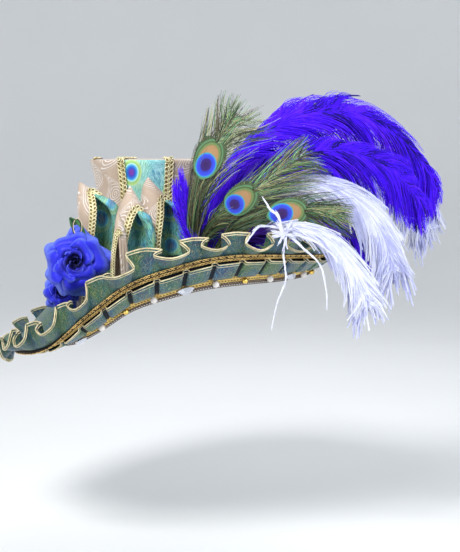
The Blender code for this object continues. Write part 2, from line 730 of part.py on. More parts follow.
def roses():
    """Cloth roses with waved petal rings round a closed heart, each backed by its calyx."""
    face = Vector(ROSE_FACES).normalized()
    side = Vector((0, 0, 1)).cross(face).normalized()
    up = face.cross(side)
    for name, spec in ROSES.items():
        centre, radius, depth = Vector(spec["centre"]), spec["radius"], spec["depth"]
        calyx = [centre - face * depth * ROSE_CALYX] * spec["columns"]
        rings = [calyx]
        for share, lift, ripple in ROSE_RINGS:
            ring = []
            for turn in round_angles(spec["columns"]):
                wave = math.sin(math.radians(turn) * spec["petals"] + ROSE_PHASE * share)
                reach = radius * share * (1 + ripple * wave)
                flat = side * reach * math.cos(math.radians(turn)) + up * reach * math.sin(math.radians(turn))
                place = centre + flat + face * depth * (lift + ripple * wave)
                place.z = max(place.z, brim_top(place.x, place.y) + ROSE_CLEAR)
                ring.append(place)
            rings.append(ring)
        rings.append([centre + face * depth * ROSE_HEART] * spec["columns"])
        add_part(f"rose_{name}", lofted(rings, closed_round=True), "rose_cloth")


def leaf():
    """One cloth leaf behind the large rose."""
    rows = []
    for x, y, z, half in LEAF_STATIONS:
        middle, side = Vector((x, y, z)), Vector(LEAF_SIDE) * half
        rows.append([middle - side, middle + Vector((0, -LEAF_KEEL, 0)), middle + side])
    return cloth(add_part("leaf", lofted(rows), "leaf_cloth"), LEAF_CLOTH)


def pad_place(angle, radius, off):
    """A place at a height off the brim's upper face."""
    place = polar(angle, radius, 0.0)
    place.z = brim_top(place.x, place.y) + off
    return place


def quill_pad():
    """The plain pad under the trimmings that the quills are sewn to."""
    sections = []
    for share in PAD_SHARES:
        radii = [hole_radius(a) + share * (border_radius(a) - hole_radius(a)) for a in PAD_ANGLES]
        lower = [pad_place(a, r, PAD_SEAT) for a, r in zip(PAD_ANGLES, radii)]
        upper = [pad_place(a, r, PAD_SEAT + PAD_THICK) for a, r in zip(PAD_ANGLES, radii)]
        sections.append([*lower, *reversed(upper)])
    return solid("quill_pad", sections, "peacock_print")


def lock(mesh_data, first, second, reach, droop, lean):
    """A tapering lock grown from the edge between two points of a feather's backing."""
    before = (first, second)
    middle, half = (first.co + second.co) / 2, (second.co - first.co) / 2
    for share, width in LOCK_ROWS:
        centre = middle + reach * share + lean * share**LOCK_CURVE + droop * share**2
        row = (mesh_data.verts.new(centre - half * width), mesh_data.verts.new(centre + half * width))
        mesh_data.faces.new((before[0], before[1], row[1], row[0]))
        before = row


def spine_points(spec, face):
    """The places that a feather's spine passes, from a root whose end just clears the pad."""
    angle, radius, height = spec["root"]
    root = pad_place(angle, radius, PAD_SEAT + PAD_THICK + GAP + height)
    run = (along([root, *spec["spine"]], RUN_STEP) - root).normalized()
    side = face.cross(run).normalized()
    root.z += QUILL_HALF * abs(side.z) + spec["thick"] / 2 * abs(side.cross(run).z)
    return [root, *[Vector(point) for point in spec["spine"]]]


def feather(name, spec, locks, look):
    """A feather: a quill that starts on the pad, a backing along it, and locks down both sides."""
    face = Vector(spec["face"]).normalized()
    points = spine_points(spec, face)
    widths = [(i / (len(spec["widths"]) - 1), w) for i, w in enumerate(spec["widths"])]
    mesh_data = bmesh.new()
    stations, quill = locks + 1, 1.0 / (len(points) - 1)
    rows = []
    for i in range(-1, stations):
        share = 0.0 if i < 0 else quill + (1 - quill) * i / (stations - 1)
        centre = along(points, share)
        ends = min(share + RUN_STEP, 1), max(share - RUN_STEP, 0)
        run = (along(points, ends[0]) - along(points, ends[1])).normalized()
        side = face.cross(run).normalized()
        half = QUILL_HALF if i < 0 else BACKING_SHARE * between(widths, i / (stations - 1))
        row = [mesh_data.verts.new(centre + side * offset) for offset in (-half, 0.0, half)]
        rows.append((row, run, side))
    for (here, _, _), (there, _, _) in zip(rows, rows[1:]):
        for j in range(2):
            mesh_data.faces.new((here[j], here[j + 1], there[j + 1], there[j]))
    for i in range(1, stations):
        row, run, side = rows[i]
        following = rows[i + 1][0]
        width = between(widths, (i - 0.5) / (stations - 1))
        for j, way in ((0, -1.0), (2, 1.0)):
            reach = side * way * width * (1 - BACKING_SHARE)
            lock(mesh_data, row[j], following[j], reach, -face * spec["droop"], run * width * LOCK_LEAN)
    return cloth(add_part(name, mesh_data, look), spec["thick"])


def feathers():
    """Three peacock feathers in front of six ostrich plumes."""
    for name, spec in PLUMES.items():
        kind = name.split("_")[0]
        feather(name, spec, FEATHER_LOCKS if kind == "peacock" else PLUME_LOCKS, f"{kind}_feather")


def white_tuft():
    """A knot of bare white fronds, which hang in front of the brim."""
    mesh_data = bmesh.new()
    centre = Vector(TUFT_KNOT)
    corners = []
    for turn in TUFT_CORNERS:
        way = Vector((math.cos(math.radians(turn)), 0.0, math.sin(math.radians(turn))))
        corners.append(mesh_data.verts.new(centre + way * TUFT_RADIUS))
    mesh_data.faces.new(corners)
    for side, path in TUFT_FRONDS:
        before = (corners[side], corners[side + 1])
        run_from = (before[0].co + before[1].co) / 2
        for i, place in enumerate(path):
            run = (Vector(place) - run_from).normalized()
            across = run.cross(Vector((0, 1, 0))).normalized() * (FROND_HALF - FROND_TAPER * i)
            if across.dot(before[1].co - before[0].co) < 0:
                across.negate()
            row = (mesh_data.verts.new(Vector(place) - across), mesh_data.verts.new(Vector(place) + across))
            mesh_data.faces.new((before[0], before[1], row[1], row[0]))
            before, run_from = row, Vector(place)
    return cloth(add_part("white_tuft", mesh_data, "white_feather"), TUFT_THICK)


def main():
    """Clears the scene and builds the hat."""
    for item in list(bpy.data.objects):
        bpy.data.objects.remove(item, do_unlink=True)
    for name in ("frill_brim_hat", "cutters"):
        collection = bpy.data.collections.new(name)
        bpy.context.scene.collection.children.link(collection)
    crown()
    seam_braids()
    brim()
    upper_frill()
    lower_frill()
    edge_gimp()
    bead_braid()
    crystals()
    folded_points()
    roses()
    leaf()
    quill_pad()
    feathers()
    white_tuft()


main()
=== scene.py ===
"""Frill brim hat, dressed: cloth, braids, beads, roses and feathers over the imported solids.

Sizes and places are millimetres until a shape becomes a mesh, where MM turns them to metres. +Z is the
crown's axis, -X the hat's front and -Y the trimmed side. Angles are degrees round +Z from +X.
"""

from __future__ import annotations

import logging
import math
from dataclasses import dataclass, field
from enum import Enum
from typing import Callable, Sequence

import bmesh
import bpy
import numpy as np
from mathutils import Matrix, Vector

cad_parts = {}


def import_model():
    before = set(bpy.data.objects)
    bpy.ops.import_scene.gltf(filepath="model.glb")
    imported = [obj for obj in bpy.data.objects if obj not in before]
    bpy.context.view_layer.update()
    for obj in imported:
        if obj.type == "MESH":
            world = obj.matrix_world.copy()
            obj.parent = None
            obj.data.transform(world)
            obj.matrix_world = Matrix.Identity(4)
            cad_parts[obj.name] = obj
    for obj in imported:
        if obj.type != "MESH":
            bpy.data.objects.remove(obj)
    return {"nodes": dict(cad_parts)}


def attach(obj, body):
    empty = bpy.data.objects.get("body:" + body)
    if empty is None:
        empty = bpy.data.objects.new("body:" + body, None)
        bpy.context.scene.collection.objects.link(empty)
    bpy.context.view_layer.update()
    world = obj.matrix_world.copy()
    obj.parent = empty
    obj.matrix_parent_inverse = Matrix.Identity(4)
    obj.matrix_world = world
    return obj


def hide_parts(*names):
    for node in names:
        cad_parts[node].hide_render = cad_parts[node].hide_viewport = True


LOG = logging.getLogger("frill_brim_hat")
MM = 0.001
METRE = 1000.0
Table = Sequence[Sequence[float]]
Triple = tuple[float, float, float]
Array = np.ndarray
Random = np.random.Generator
Sketch = bmesh.types.BMesh
Piece = bpy.types.Object


class Cloth(Enum):
    """How a piece of cloth is held."""

    GATHERED = "gathered"
    FOLDED = "folded"


# Shapes of the hat, the same as in the part's source


def hermite(t: float, start: float, end: float, start_slope: float, end_slope: float) -> float:
    """A cubic from start to end, with its slopes over the whole step."""
    return (
        (2 * t**3 - 3 * t**2 + 1) * start
        + (t**3 - 2 * t**2 + t) * start_slope
        + (3 * t**2 - 2 * t**3) * end
        + (t**3 - t**2) * end_slope
    )


def between(table: Table, at: float) -> list[float]:
    """Reads a table smoothly.

    Args:
        table: rows sorted by their first column.
        at: value of the first column.

    Returns:
        The other columns there.
    """
    keys = [row[0] for row in table]
    at = min(max(at, keys[0]), keys[-1])
    i = max(k for k in range(len(table) - 1) if keys[k] <= at)
    span = keys[i + 1] - keys[i]
    t = (at - keys[i]) / span
    values = []
    for column in range(1, len(table[0])):
        slopes = []
        for k in (i, i + 1):
            before, after = max(k - 1, 0), min(k + 1, len(table) - 1)
            rise = table[after][column] - table[before][column]
            slopes.append(span * rise / (keys[after] - keys[before]))
        values.append(hermite(t, table[i][column], table[i + 1][column], *slopes))
    return values


def smooth_line(passes: Table, count: int) -> Array:
    """A smooth curve through the rows of a table, read at even shares."""
    table = [(number, *row) for number, row in enumerate(passes)]
    return np.array([between(table, at) for at in np.linspace(0, len(table) - 1, count)])


def oval_radius(angle: float, half_length: float, half_width: float, centre: float = 0.0) -> float:
    """Distance from the axis to an oval, along an angle."""
    c, s = math.cos(math.radians(angle)), math.sin(math.radians(angle))
    a = (c / half_length) ** 2 + (s / half_width) ** 2
    b = -2 * c * centre / half_length**2
    k = (centre / half_length) ** 2 - 1
    return (-b + math.sqrt(b * b - 4 * a * k)) / (2 * a)


def zigzag(turn: float, sharp: float = 0.97) -> float:
    """A wave between -1 and 1 with straight flanks and tight folds."""
    return math.asin(sharp * math.sin(turn)) / math.asin(sharp)


def polar(angle: float, radius: float, height: float) -> Vector:
    """A place from its angle, distance from the axis and height."""
    return Vector((radius * math.cos(math.radians(angle)), radius * math.sin(math.radians(angle)), height))


@dataclass(frozen=True)
class HatForm:
    """The crown's wall and the brim's middle surface, which every trimming is set on."""

    crown_height: float = 130.0
    crown_wall: float = 2.6
    crown_levels: Table = (
        # height, half_length, half_width
        (-40.0, 100.0, 86.0), (0.0, 99.5, 85.5), (15.0, 93.0, 80.0), (50.0, 86.0, 75.0),
        (77.0, 87.5, 76.5), (104.0, 91.5, 80.0), (130.0, 97.5, 85.0),
    )
    gap: float = 0.3
    brim_centre: float = 24.0
    brim_half_length: float = 236.0
    brim_half_width: float = 245.0
    brim_wall: float = 2.4
    band_width: float = 28.0
    bead_braid_half: float = 4.2
    border_blend: float = 0.45
    seat_level: float = -12.0
    seat_slope: float = 14.0
    brim_edge: Table = (
        # x, height of the brim's edge
        (-212.0, -146.0), (-150.0, -125.0), (-90.0, -75.0), (-40.0, -37.0),
        (20.0, -13.0), (80.0, 1.0), (150.0, 3.0), (260.0, -5.0),
    )
    band: Table = (
        # angle from the back, rise of the band to the edge, slope at the edge
        (0.0, 20.0, 0.5), (25.0, 23.0, 0.55), (51.0, 29.0, 0.7), (72.0, 32.0, 1.25), (93.0, 28.0, 1.4),
        (113.0, 17.0, 0.9), (134.0, -8.0, -0.3), (155.0, -26.0, -1.1), (180.0, -33.0, -1.6),
    )

    def crown_radius(self, angle: float, height: float) -> float:
        """Outer radius of the crown at an angle and height."""
        return oval_radius(angle, *between(self.crown_levels, height))

    def seat_height(self, angle: float) -> float:
        """Height where the brim meets the crown."""
        return self.seat_level + self.seat_slope * math.cos(math.radians(angle))

    def hole_radius(self, angle: float) -> float:
        """Inner radius of the brim, just clear of the crown."""
        return oval_radius(angle, self.crown_levels[0][1] + self.gap, self.crown_levels[0][2] + self.gap)

    def edge_radius(self, angle: float) -> float:
        """Radius of the brim's edge."""
        return oval_radius(angle, self.brim_half_length, self.brim_half_width, self.brim_centre)

    def border_radius(self, angle: float) -> float:
        """Radius of the line between the brim and its turned band."""
        return self.edge_radius(angle) - self.band_width

    def brim_height(self, angle: float, radius: float) -> float:
        """Height of the middle of the brim's cloth, and beyond its edge of the ruffle that runs on."""
        hole, edge = self.hole_radius(angle), self.edge_radius(angle)
        border = edge - self.band_width
        turned = abs((angle + 180.0) % 360.0 - 180.0)
        edge_height = between(self.brim_edge, edge * math.cos(math.radians(angle)))[0]
        rise, edge_slope = between(self.band, turned)
        border_height = edge_height - rise
        run = border - hole
        seat = self.seat_height(angle)
        inner_slope = (border_height - seat) / run
        border_slope = (1 - self.border_blend) * inner_slope + self.border_blend * rise / self.band_width
        if radius <= border:
            t = (radius - hole) / run
            return hermite(t, seat, border_height, inner_slope * run, border_slope * run)
        t = min((radius - border) / self.band_width, 1.0)
        slopes = border_slope * self.band_width, edge_slope * self.band_width
        return hermite(t, border_height, edge_height, *slopes) + max(radius - edge, 0.0) * edge_slope

    def brim_up(self, angle: float, radius: float) -> Vector:
        """The way straight up off the brim's surface."""
        step = 0.5
        outwards = polar(angle, radius + step, self.brim_height(angle, radius + step))
        outwards -= polar(angle, radius - step, self.brim_height(angle, radius - step))
        round_it = polar(angle + step, radius, self.brim_height(angle + step, radius))
        round_it -= polar(angle - step, radius, self.brim_height(angle - step, radius))
        return outwards.cross(round_it).normalized()

    def on_brim(self, angle: float, radius: float, off: float) -> Vector:
        """A place off the middle of the brim's cloth, upwards where off is positive."""
        return polar(angle, radius, self.brim_height(angle, radius)) + self.brim_up(angle, radius) * off

    def braid_chord(self, angle: float, off: float) -> tuple[Vector, Vector, Vector]:
        """Inner and outer corner of the bead braid at a height off the brim, and the way out between them."""
        radius = self.border_radius(angle)
        slope = (self.on_brim(angle, radius + 1, 0) - self.on_brim(angle, radius - 1, 0)).normalized()
        reach = self.bead_braid_half * math.hypot(slope.x, slope.y)
        inside, outside = self.on_brim(angle, radius - reach, -off), self.on_brim(angle, radius + reach, -off)
        out = (outside - inside).cross(polar(angle + 90.0, 1.0, 0.0)).normalized()
        return inside, outside, out if out.z < 0 else -out

    def brim_top(self, x: float, y: float) -> float:
        """Height of the brim's upper face under a place."""
        angle, radius = math.degrees(math.atan2(y, x)), math.hypot(x, y)
        radius = min(max(radius, self.hole_radius(angle) + 1), self.edge_radius(angle))
        return self.brim_height(angle, radius) + self.brim_wall / 2 / self.brim_up(angle, radius).z


FORM = HatForm()


# Meshes


def to_mesh(sketch: Sketch) -> bpy.types.Mesh:
    """Ends a sketch in millimetres as a smooth mesh in metres."""
    bmesh.ops.scale(sketch, vec=(MM, MM, MM), verts=sketch.verts)
    for face in sketch.faces:
        face.smooth = True
    mesh = bpy.data.meshes.new("shape")
    sketch.to_mesh(mesh)
    sketch.free()
    return mesh


def finished(name: str, made: Sketch | bpy.types.Mesh, finishes: Sequence[Finish], *nodes: str) -> Piece:
    """Makes a shape an object of the hat.

    Args:
        name: the piece's name.
        made: its sketch in millimetres, or its mesh in metres.
        finishes: one for each material slot.
        nodes: the solids that the piece stands for.

    Returns:
        The object, riding on the hat.
    """
    mesh = made if isinstance(made, bpy.types.Mesh) else to_mesh(made)
    mesh.name = name
    piece = bpy.data.objects.new(name, mesh)
    bpy.context.scene.collection.objects.link(piece)
    for finish in finishes:
        mesh.materials.append(finish.material())
    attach(piece, "root")
    if nodes:
        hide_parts(*nodes)
    return piece


def sheet_of(points: Array, chart: Array | None = None) -> Sketch:
    """A grid of quads moved to a table of places, with a UV map in metres.

    Args:
        points: places, (columns, rows, 3), in millimetres.
        chart: UV of each place, (columns, rows, 2), in millimetres.

    Returns:
        The open sheet, whose meeting borders are not merged yet.
    """
    columns, rows = points.shape[:2]
    sketch = bmesh.new()
    bmesh.ops.create_grid(sketch, x_segments=columns - 1, y_segments=rows - 1, size=1.0)
    flat = sketch.loops.layers.uv.new("UVMap")
    for vert in sketch.verts:
        i = round((vert.co.x + 1) / 2 * (columns - 1))
        j = round((vert.co.y + 1) / 2 * (rows - 1))
        vert.co = points[i, j]
        vert.index = i * rows + j
    if chart is not None:
        for face in sketch.faces:
            for loop in face.loops:
                loop[flat].uv = chart[divmod(loop.vert.index, rows)] * MM
    return sketch


def closed_up(sketch: Sketch) -> Sketch:
    """Merges the borders that meet and turns the faces outwards."""
    bmesh.ops.remove_doubles(sketch, verts=sketch.verts, dist=0.001)
    bmesh.ops.dissolve_degenerate(sketch, edges=sketch.edges, dist=0.0005)
    bmesh.ops.recalc_face_normals(sketch, faces=sketch.faces)
    return sketch


def lengths_along(points: Array) -> Array:
    """Running length at each place of a path."""
    steps = np.linalg.norm(np.diff(points, axis=0), axis=1)
    return np.concatenate([[0.0], np.cumsum(steps)])


def unit(vectors: Array) -> Array:
    """Vectors of length one."""
    return vectors / np.maximum(np.linalg.norm(vectors, axis=-1, keepdims=True), 1e-9)


def charted(u: Array, v: Array) -> Array:
    """A UV chart, (columns, rows, 2), from its two numbers, each spread over the columns and rows."""
    return np.stack(np.broadcast_arrays(u, v), axis=-1)


def middle_uv(face: bmesh.types.BMFace, flat: bmesh.types.BMLayerItem, axis: int) -> float:
    """The mean of one number of a face's UV, in metres."""
    return sum(loop[flat].uv[axis] for loop in face.loops) / len(face.loops)


def read_at(wanted: Array, run: Array, track: Array) -> Array:
    """Reads the three columns of a track at wanted lengths of its run."""
    return np.stack([np.interp(wanted, run, track[:, k]) for k in range(3)], axis=-1)


def spaced(path: Array, step: float) -> Array:
    """Places at even steps round a closed path, with the first one once only."""
    path = np.concatenate([path[:-1], path[:1]])
    run = lengths_along(path)
    wanted = np.linspace(0.0, run[-1], max(round(run[-1] / step), 1) + 1)
    return read_at(wanted[:-1], run, path)


def runs_along(path: Array, meeting: float = 0.01) -> tuple[Array, bool]:
    """The way that a path runs at each place, and whether its ends meet."""
    loop = np.linalg.norm(path[0] - path[-1]) < meeting
    run = np.gradient(path, axis=0)
    if loop:
        run[0] = run[-1] = path[1] - path[-2]
    return unit(run), loop


def skinned(path: Array, side: Array, out: Array, corners: Array, reach: Array,
            girth: Array, loop: bool) -> Sketch:
    """A closed body through the same corners at each place of a path.

    Args:
        path: centreline, (count, 3).
        side: the way to the side at each place, (count, 3).
        out: the way out at each place, (count, 3).
        corners: the section as (to the side, outwards), whose last corner is its first again.
        reach: the section's size at each place.
        girth: the corners' second UV number.
        loop: whether the path's ends meet; otherwise each is drawn to a point.

    Returns:
        The body, with its length and girth as UV.
    """
    if not loop:
        path, side, out = (np.concatenate([a[:1], a, a[-1:]]) for a in (path, side, out))
        reach = np.concatenate([[0.0], reach, [0.0]])
    points = path[:, None] + reach[:, None, None] * (
        side[:, None] * corners[None, :, :1] + out[:, None] * corners[None, :, 1:])
    return closed_up(sheet_of(points, charted(lengths_along(path)[:, None], girth)))


def tube_of(path: Array, radius: Array | float, sides: int = 6) -> Sketch:
    """A round cord along a path, with one radius or one for each place."""
    run, loop = runs_along(path)
    flat = np.array((0.31, 0.17, 0.93))
    side = unit(np.cross(run, np.where(np.abs(run @ flat)[:, None] > 0.9, [[0.9, 0.1, 0.1]], flat)))
    turns = np.linspace(0, 2 * math.pi, sides + 1)
    reach = np.broadcast_to(np.asarray(radius, float), (len(path),)).copy()
    corners = np.stack([np.cos(turns), np.sin(turns)], axis=1)
    return skinned(path, side, np.cross(side, run), corners, reach, turns * reach.max(), loop)


def swept(path: Array, out: Array, section: Array) -> Sketch:
    """A closed body of one section, corners as (across, outwards), along a path with its way out."""
    run, loop = runs_along(path)
    out = unit(out - run * np.sum(out * run, axis=1, keepdims=True))
    corners = np.concatenate([section, section[:1]])
    return skinned(path, np.cross(out, run), out, corners, np.ones(len(path)), lengths_along(corners), loop)


def together(sketches: Sequence[Sketch]) -> Sketch:
    """Several sketches as one."""
    whole = sketches[0]
    for other in sketches[1:]:
        mesh = bpy.data.meshes.new("spare")
        other.to_mesh(mesh)
        other.free()
        whole.from_mesh(mesh)
        bpy.data.meshes.remove(mesh)
    return whole


def joined_copies(template: Sketch, places: Array, chart: Array | None = None,
                  tone: Array | None = None) -> bpy.types.Mesh:
    """One mesh of many copies of a small shape.

    Args:
        template: the small shape, whose own places are dropped.
        places: the places of each copy's points, (copies, points, 3), in millimetres.
        chart: UV of the same points, (copies, points, 2), in millimetres.
        tone: one shade number for each copy.

    Returns:
        The joined mesh, in metres.
    """
    copies, count = places.shape[:2]
    template.verts.index_update()
    corners = np.array([vert.index for face in template.faces for vert in face.verts])
    sizes = np.array([len(face.verts) for face in template.faces])
    template.free()
    corners = (corners[None] + np.arange(copies)[:, None] * count).ravel()
    sizes = np.tile(sizes, copies)
    mesh = bpy.data.meshes.new("copies")
    mesh.vertices.add(copies * count)
    mesh.vertices.foreach_set("co", (places * MM).astype(np.float32).ravel())
    mesh.loops.add(len(corners))
    mesh.loops.foreach_set("vertex_index", corners.astype(np.int32))
    mesh.polygons.add(len(sizes))
    mesh.polygons.foreach_set("loop_start", np.concatenate([[0], np.cumsum(sizes)[:-1]]).astype(np.int32))
    mesh.update(calc_edges=True)
    mesh.polygons.foreach_set("use_smooth", np.ones(len(sizes), dtype=bool))
    if chart is not None:
        flat = mesh.uv_layers.new(name="UVMap")
        flat.data.foreach_set("uv", (chart.reshape(-1, 2)[corners] * MM).astype(np.float32).ravel())
    if tone is not None:
        shade = mesh.attributes.new("tone", "FLOAT", "POINT")
        shade.data.foreach_set("value", np.repeat(tone, count).astype(np.float32))
    mesh.validate()
    return mesh


def add_copies(whole: Sketch, template: Sketch, places: Array, slot: int) -> None:
    """Adds placed copies of a small shape to a sketch, with the finish of one slot."""
    before = len(whole.faces)
    spare = joined_copies(template, places)
    spare.transform(Matrix.Scale(1 / MM, 4))
    whole.from_mesh(spare)
    bpy.data.meshes.remove(spare)
    whole.faces.ensure_lookup_table()
    for face in whole.faces[before:]:
        face.material_index = slot


def ring_shape(long: float, short: float, wire: float, sides: int = 10, faces: int = 4) -> Sketch:
    """An oval ring of wire or yarn, spun from a small circle."""
    shape = bmesh.new()
    made = bmesh.ops.create_circle(shape, segments=faces, radius=wire)
    bmesh.ops.rotate(shape, verts=made["verts"], cent=(0, 0, 0), matrix=Matrix.Rotation(math.pi / 2, 3, "X"))
    bmesh.ops.translate(shape, verts=made["verts"], vec=(1.0, 0, 0))
    bmesh.ops.spin(shape, geom=[*shape.verts, *shape.edges], cent=(0, 0, 0), axis=(0, 0, 1),
                   angle=2 * math.pi, steps=sides, use_merge=True)
    bmesh.ops.remove_doubles(shape, verts=shape.verts, dist=0.0001)
    for vert in shape.verts:
        reach = math.hypot(vert.co.x, vert.co.y)
        turn = math.atan2(vert.co.y, vert.co.x)
        vert.co.x = (long + reach - 1.0) * math.cos(turn)
        vert.co.y = (short + reach - 1.0) * math.sin(turn)
    bmesh.ops.recalc_face_normals(shape, faces=shape.faces)
    return shape


def set_along(template: Sketch, path: Array, out: Array, turn: float = 0.0,
              across: float = 0.0, lift: float = 0.0) -> Array:
    """Places copies of a small shape along a path.

    Args:
        template: the shape, with x along the path, y across it and z outwards.
        path: centres, (copies, 3).
        out: the way out of the surface at each, (copies, 3).
        turn: the shapes' turn in their plane, in radians.
        across: their shift to the side.
        lift: how far they stand off.

    Returns:
        The placed points, (copies, points, 3).
    """
    template.verts.index_update()
    local = np.array([tuple(vert.co) for vert in template.verts])
    run = unit(np.gradient(path, axis=0))
    out = unit(out - run * np.sum(out * run, axis=1, keepdims=True))
    side = np.cross(out, run)
    x = local[:, :1] * np.cos(turn) - local[:, 1:2] * np.sin(turn)
    y = local[:, :1] * np.sin(turn) + local[:, 1:2] * np.cos(turn) + across
    return path[:, None] + run[:, None] * x + side[:, None] * y + out[:, None] * (local[:, 2:] + lift)


def ribbons(paths: Array, widths: Array, facing: Array, chart: Array, tone: Array) -> bpy.types.Mesh:
    """Many thin barbs, each a narrow ribbon along its own path.

    Args:
        paths: centrelines, (barbs, points, 3).
        widths: widths there, (barbs, points).
        facing: the way that each barb's flat side faces, (barbs, 3).
        chart: UV along the centrelines, (barbs, points, 2), in millimetres.
        tone: one shade number for each barb.

    Returns:
        The joined mesh, in metres.
    """
    count = paths.shape[1]
    strip = bmesh.new()
    bmesh.ops.create_grid(strip, x_segments=count - 1, y_segments=1, size=1.0)
    steps = np.array([round((vert.co.x + 1) / 2 * (count - 1)) for vert in strip.verts])
    sides = np.array([1.0 if vert.co.y > 0 else -1.0 for vert in strip.verts])
    run = np.gradient(paths, axis=1)
    across = unit(np.cross(facing[:, None], run))
    places = paths[:, steps] + across[:, steps] * (widths[:, steps] * sides[None])[..., None] / 2
    return joined_copies(strip, places, chart[:, steps], tone)


# Finishes


def arithmetic(operation: str) -> Callable[..., Term]:
    """A method that makes one node of arithmetic."""
    return lambda term, *others: term.op(operation, *others)


class Term:
    """A number in a material, worked out with ordinary arithmetic."""

    __add__, __sub__, __mul__, __truediv__, __pow__, __abs__ = map(
        arithmetic, ("ADD", "SUBTRACT", "MULTIPLY", "DIVIDE", "POWER", "ABSOLUTE"))

    def __init__(self, dye: Dye, socket: bpy.types.NodeSocket) -> None:
        """Keeps the socket that the number comes from."""
        self.dye = dye
        self.socket = socket

    def op(self, operation: str, *others: Term | float) -> Term:
        """The result of a math operation on this and others."""
        return self.dye.node("ShaderNodeMath", dict(enumerate((self, *others))), operation=operation)

    def step(self, low: float, high: float) -> Term:
        """Rises smoothly from 0 at low to 1 at high."""
        inputs = dict(enumerate((self, low, high, 0.0, 1.0)))
        return self.dye.node("ShaderNodeMapRange", inputs, interpolation_type="SMOOTHSTEP")


class Dye:
    """Builds one material's nodes."""

    def __init__(self, name: str) -> None:
        """Starts the material with its shader."""
        self.material = bpy.data.materials.new(name)
        self.material.use_nodes = True
        self.tree = self.material.node_tree
        self.shader = self.tree.nodes["Principled BSDF"]

    def node(self, kind: str, inputs: dict[int | str, object], output: int | str = 0,
             **settings: object) -> Term:
        """Makes a node.

        Args:
            kind: the node's type.
            inputs: what feeds its sockets, by their number or name.
            output: the socket that is read.
            settings: the node's own settings.

        Returns:
            The output as a term.
        """
        node = self.tree.nodes.new(kind)
        for key, value in settings.items():
            setattr(node, key, value)
        for key, value in inputs.items():
            self.feed(node.inputs[key], value)
        return Term(self, node.outputs[output])

    def feed(self, slot: bpy.types.NodeSocket, value: object) -> None:
        """Links a term to a socket, or sets the socket's own value."""
        if isinstance(value, Term):
            self.tree.links.new(value.socket, slot)
        elif isinstance(value, tuple) and slot.type == "RGBA":
            slot.default_value = (*value, 1.0)
        else:
            slot.default_value = value

    def chart(self) -> tuple[Term, Term]:
        """The UV map's two numbers, in metres along the cloth."""
        flat = self.node("ShaderNodeTexCoord", {}, "UV")
        return tuple(self.node("ShaderNodeSeparateXYZ", {0: flat}, axis) for axis in (0, 1))

    def place(self) -> Term:
        """Object coordinates."""
        return self.node("ShaderNodeTexCoord", {}, "Object")

    def tone(self) -> Term:
        """The shade number of each barb."""
        return self.node("ShaderNodeAttribute", {}, "Fac", attribute_name="tone")

    def vector(self, x: Term | float, y: Term | float, z: Term | float = 0.0) -> Term:
        """Three numbers as a place."""
        return self.node("ShaderNodeCombineXYZ", {0: x, 1: y, 2: z})

    def noise(self, place: Term, scale: float, detail: float = 2.0, distortion: float = 0.0) -> Term:
        """Soft noise from 0 to 1."""
        inputs = {"Vector": place, "Scale": scale, "Detail": detail, "Distortion": distortion}
        return self.node("ShaderNodeTexNoise", inputs)

    def ramp(self, value: Term, stops: Sequence[tuple[float, Triple]]) -> Term:
        """A colour read from a run of stops, at most 32."""
        colours = self.node("ShaderNodeValToRGB", {0: value})
        band = colours.socket.node.color_ramp
        while len(band.elements) < len(stops):
            band.elements.new(1.0)
        for element, (position, colour) in zip(band.elements, stops):
            element.position = position
            element.color = (*colour, 1.0)
        return colours

    def mix(self, share: Term | float, first: object, second: object) -> Term:
        """One colour turned to another by a share."""
        return self.node("ShaderNodeMix", {0: share, 6: first, 7: second}, 2, data_type="RGBA")

    def bump(self, height: Term, distance: float, strength: float = 1.0) -> None:
        """Raises the surface by a height from 0 to 1."""
        self.set(Normal=self.node("ShaderNodeBump", {"Height": height, "Distance": distance,
                                                     "Strength": strength}))

    def set(self, **values: object) -> None:
        """Sets the shader's sockets, named with underscores."""
        for key, value in values.items():
            self.feed(self.shader.inputs[key.replace("_", " ")], value)

    def weave(self, pitch: float) -> Term:
        """Crossing threads, from 0 to 1."""
        u, v = self.chart()
        turn = 2 * math.pi / pitch
        return ((u * turn).op("SINE") * (v * turn).op("SINE")) * 0.5 + 0.5


@dataclass(frozen=True)
class Finish:
    """A finish of the hat, made as one material."""

    name: str
    slot: str

    def material(self) -> bpy.types.Material:
        """The finish's material, made once."""
        known = bpy.data.materials.get(self.name)
        if known is None:
            dye = Dye(self.name)
            self.paint(dye)
            known = dye.material
        return known

    def paint(self, dye: Dye) -> None:
        """Sets the material's nodes."""
        raise NotImplementedError


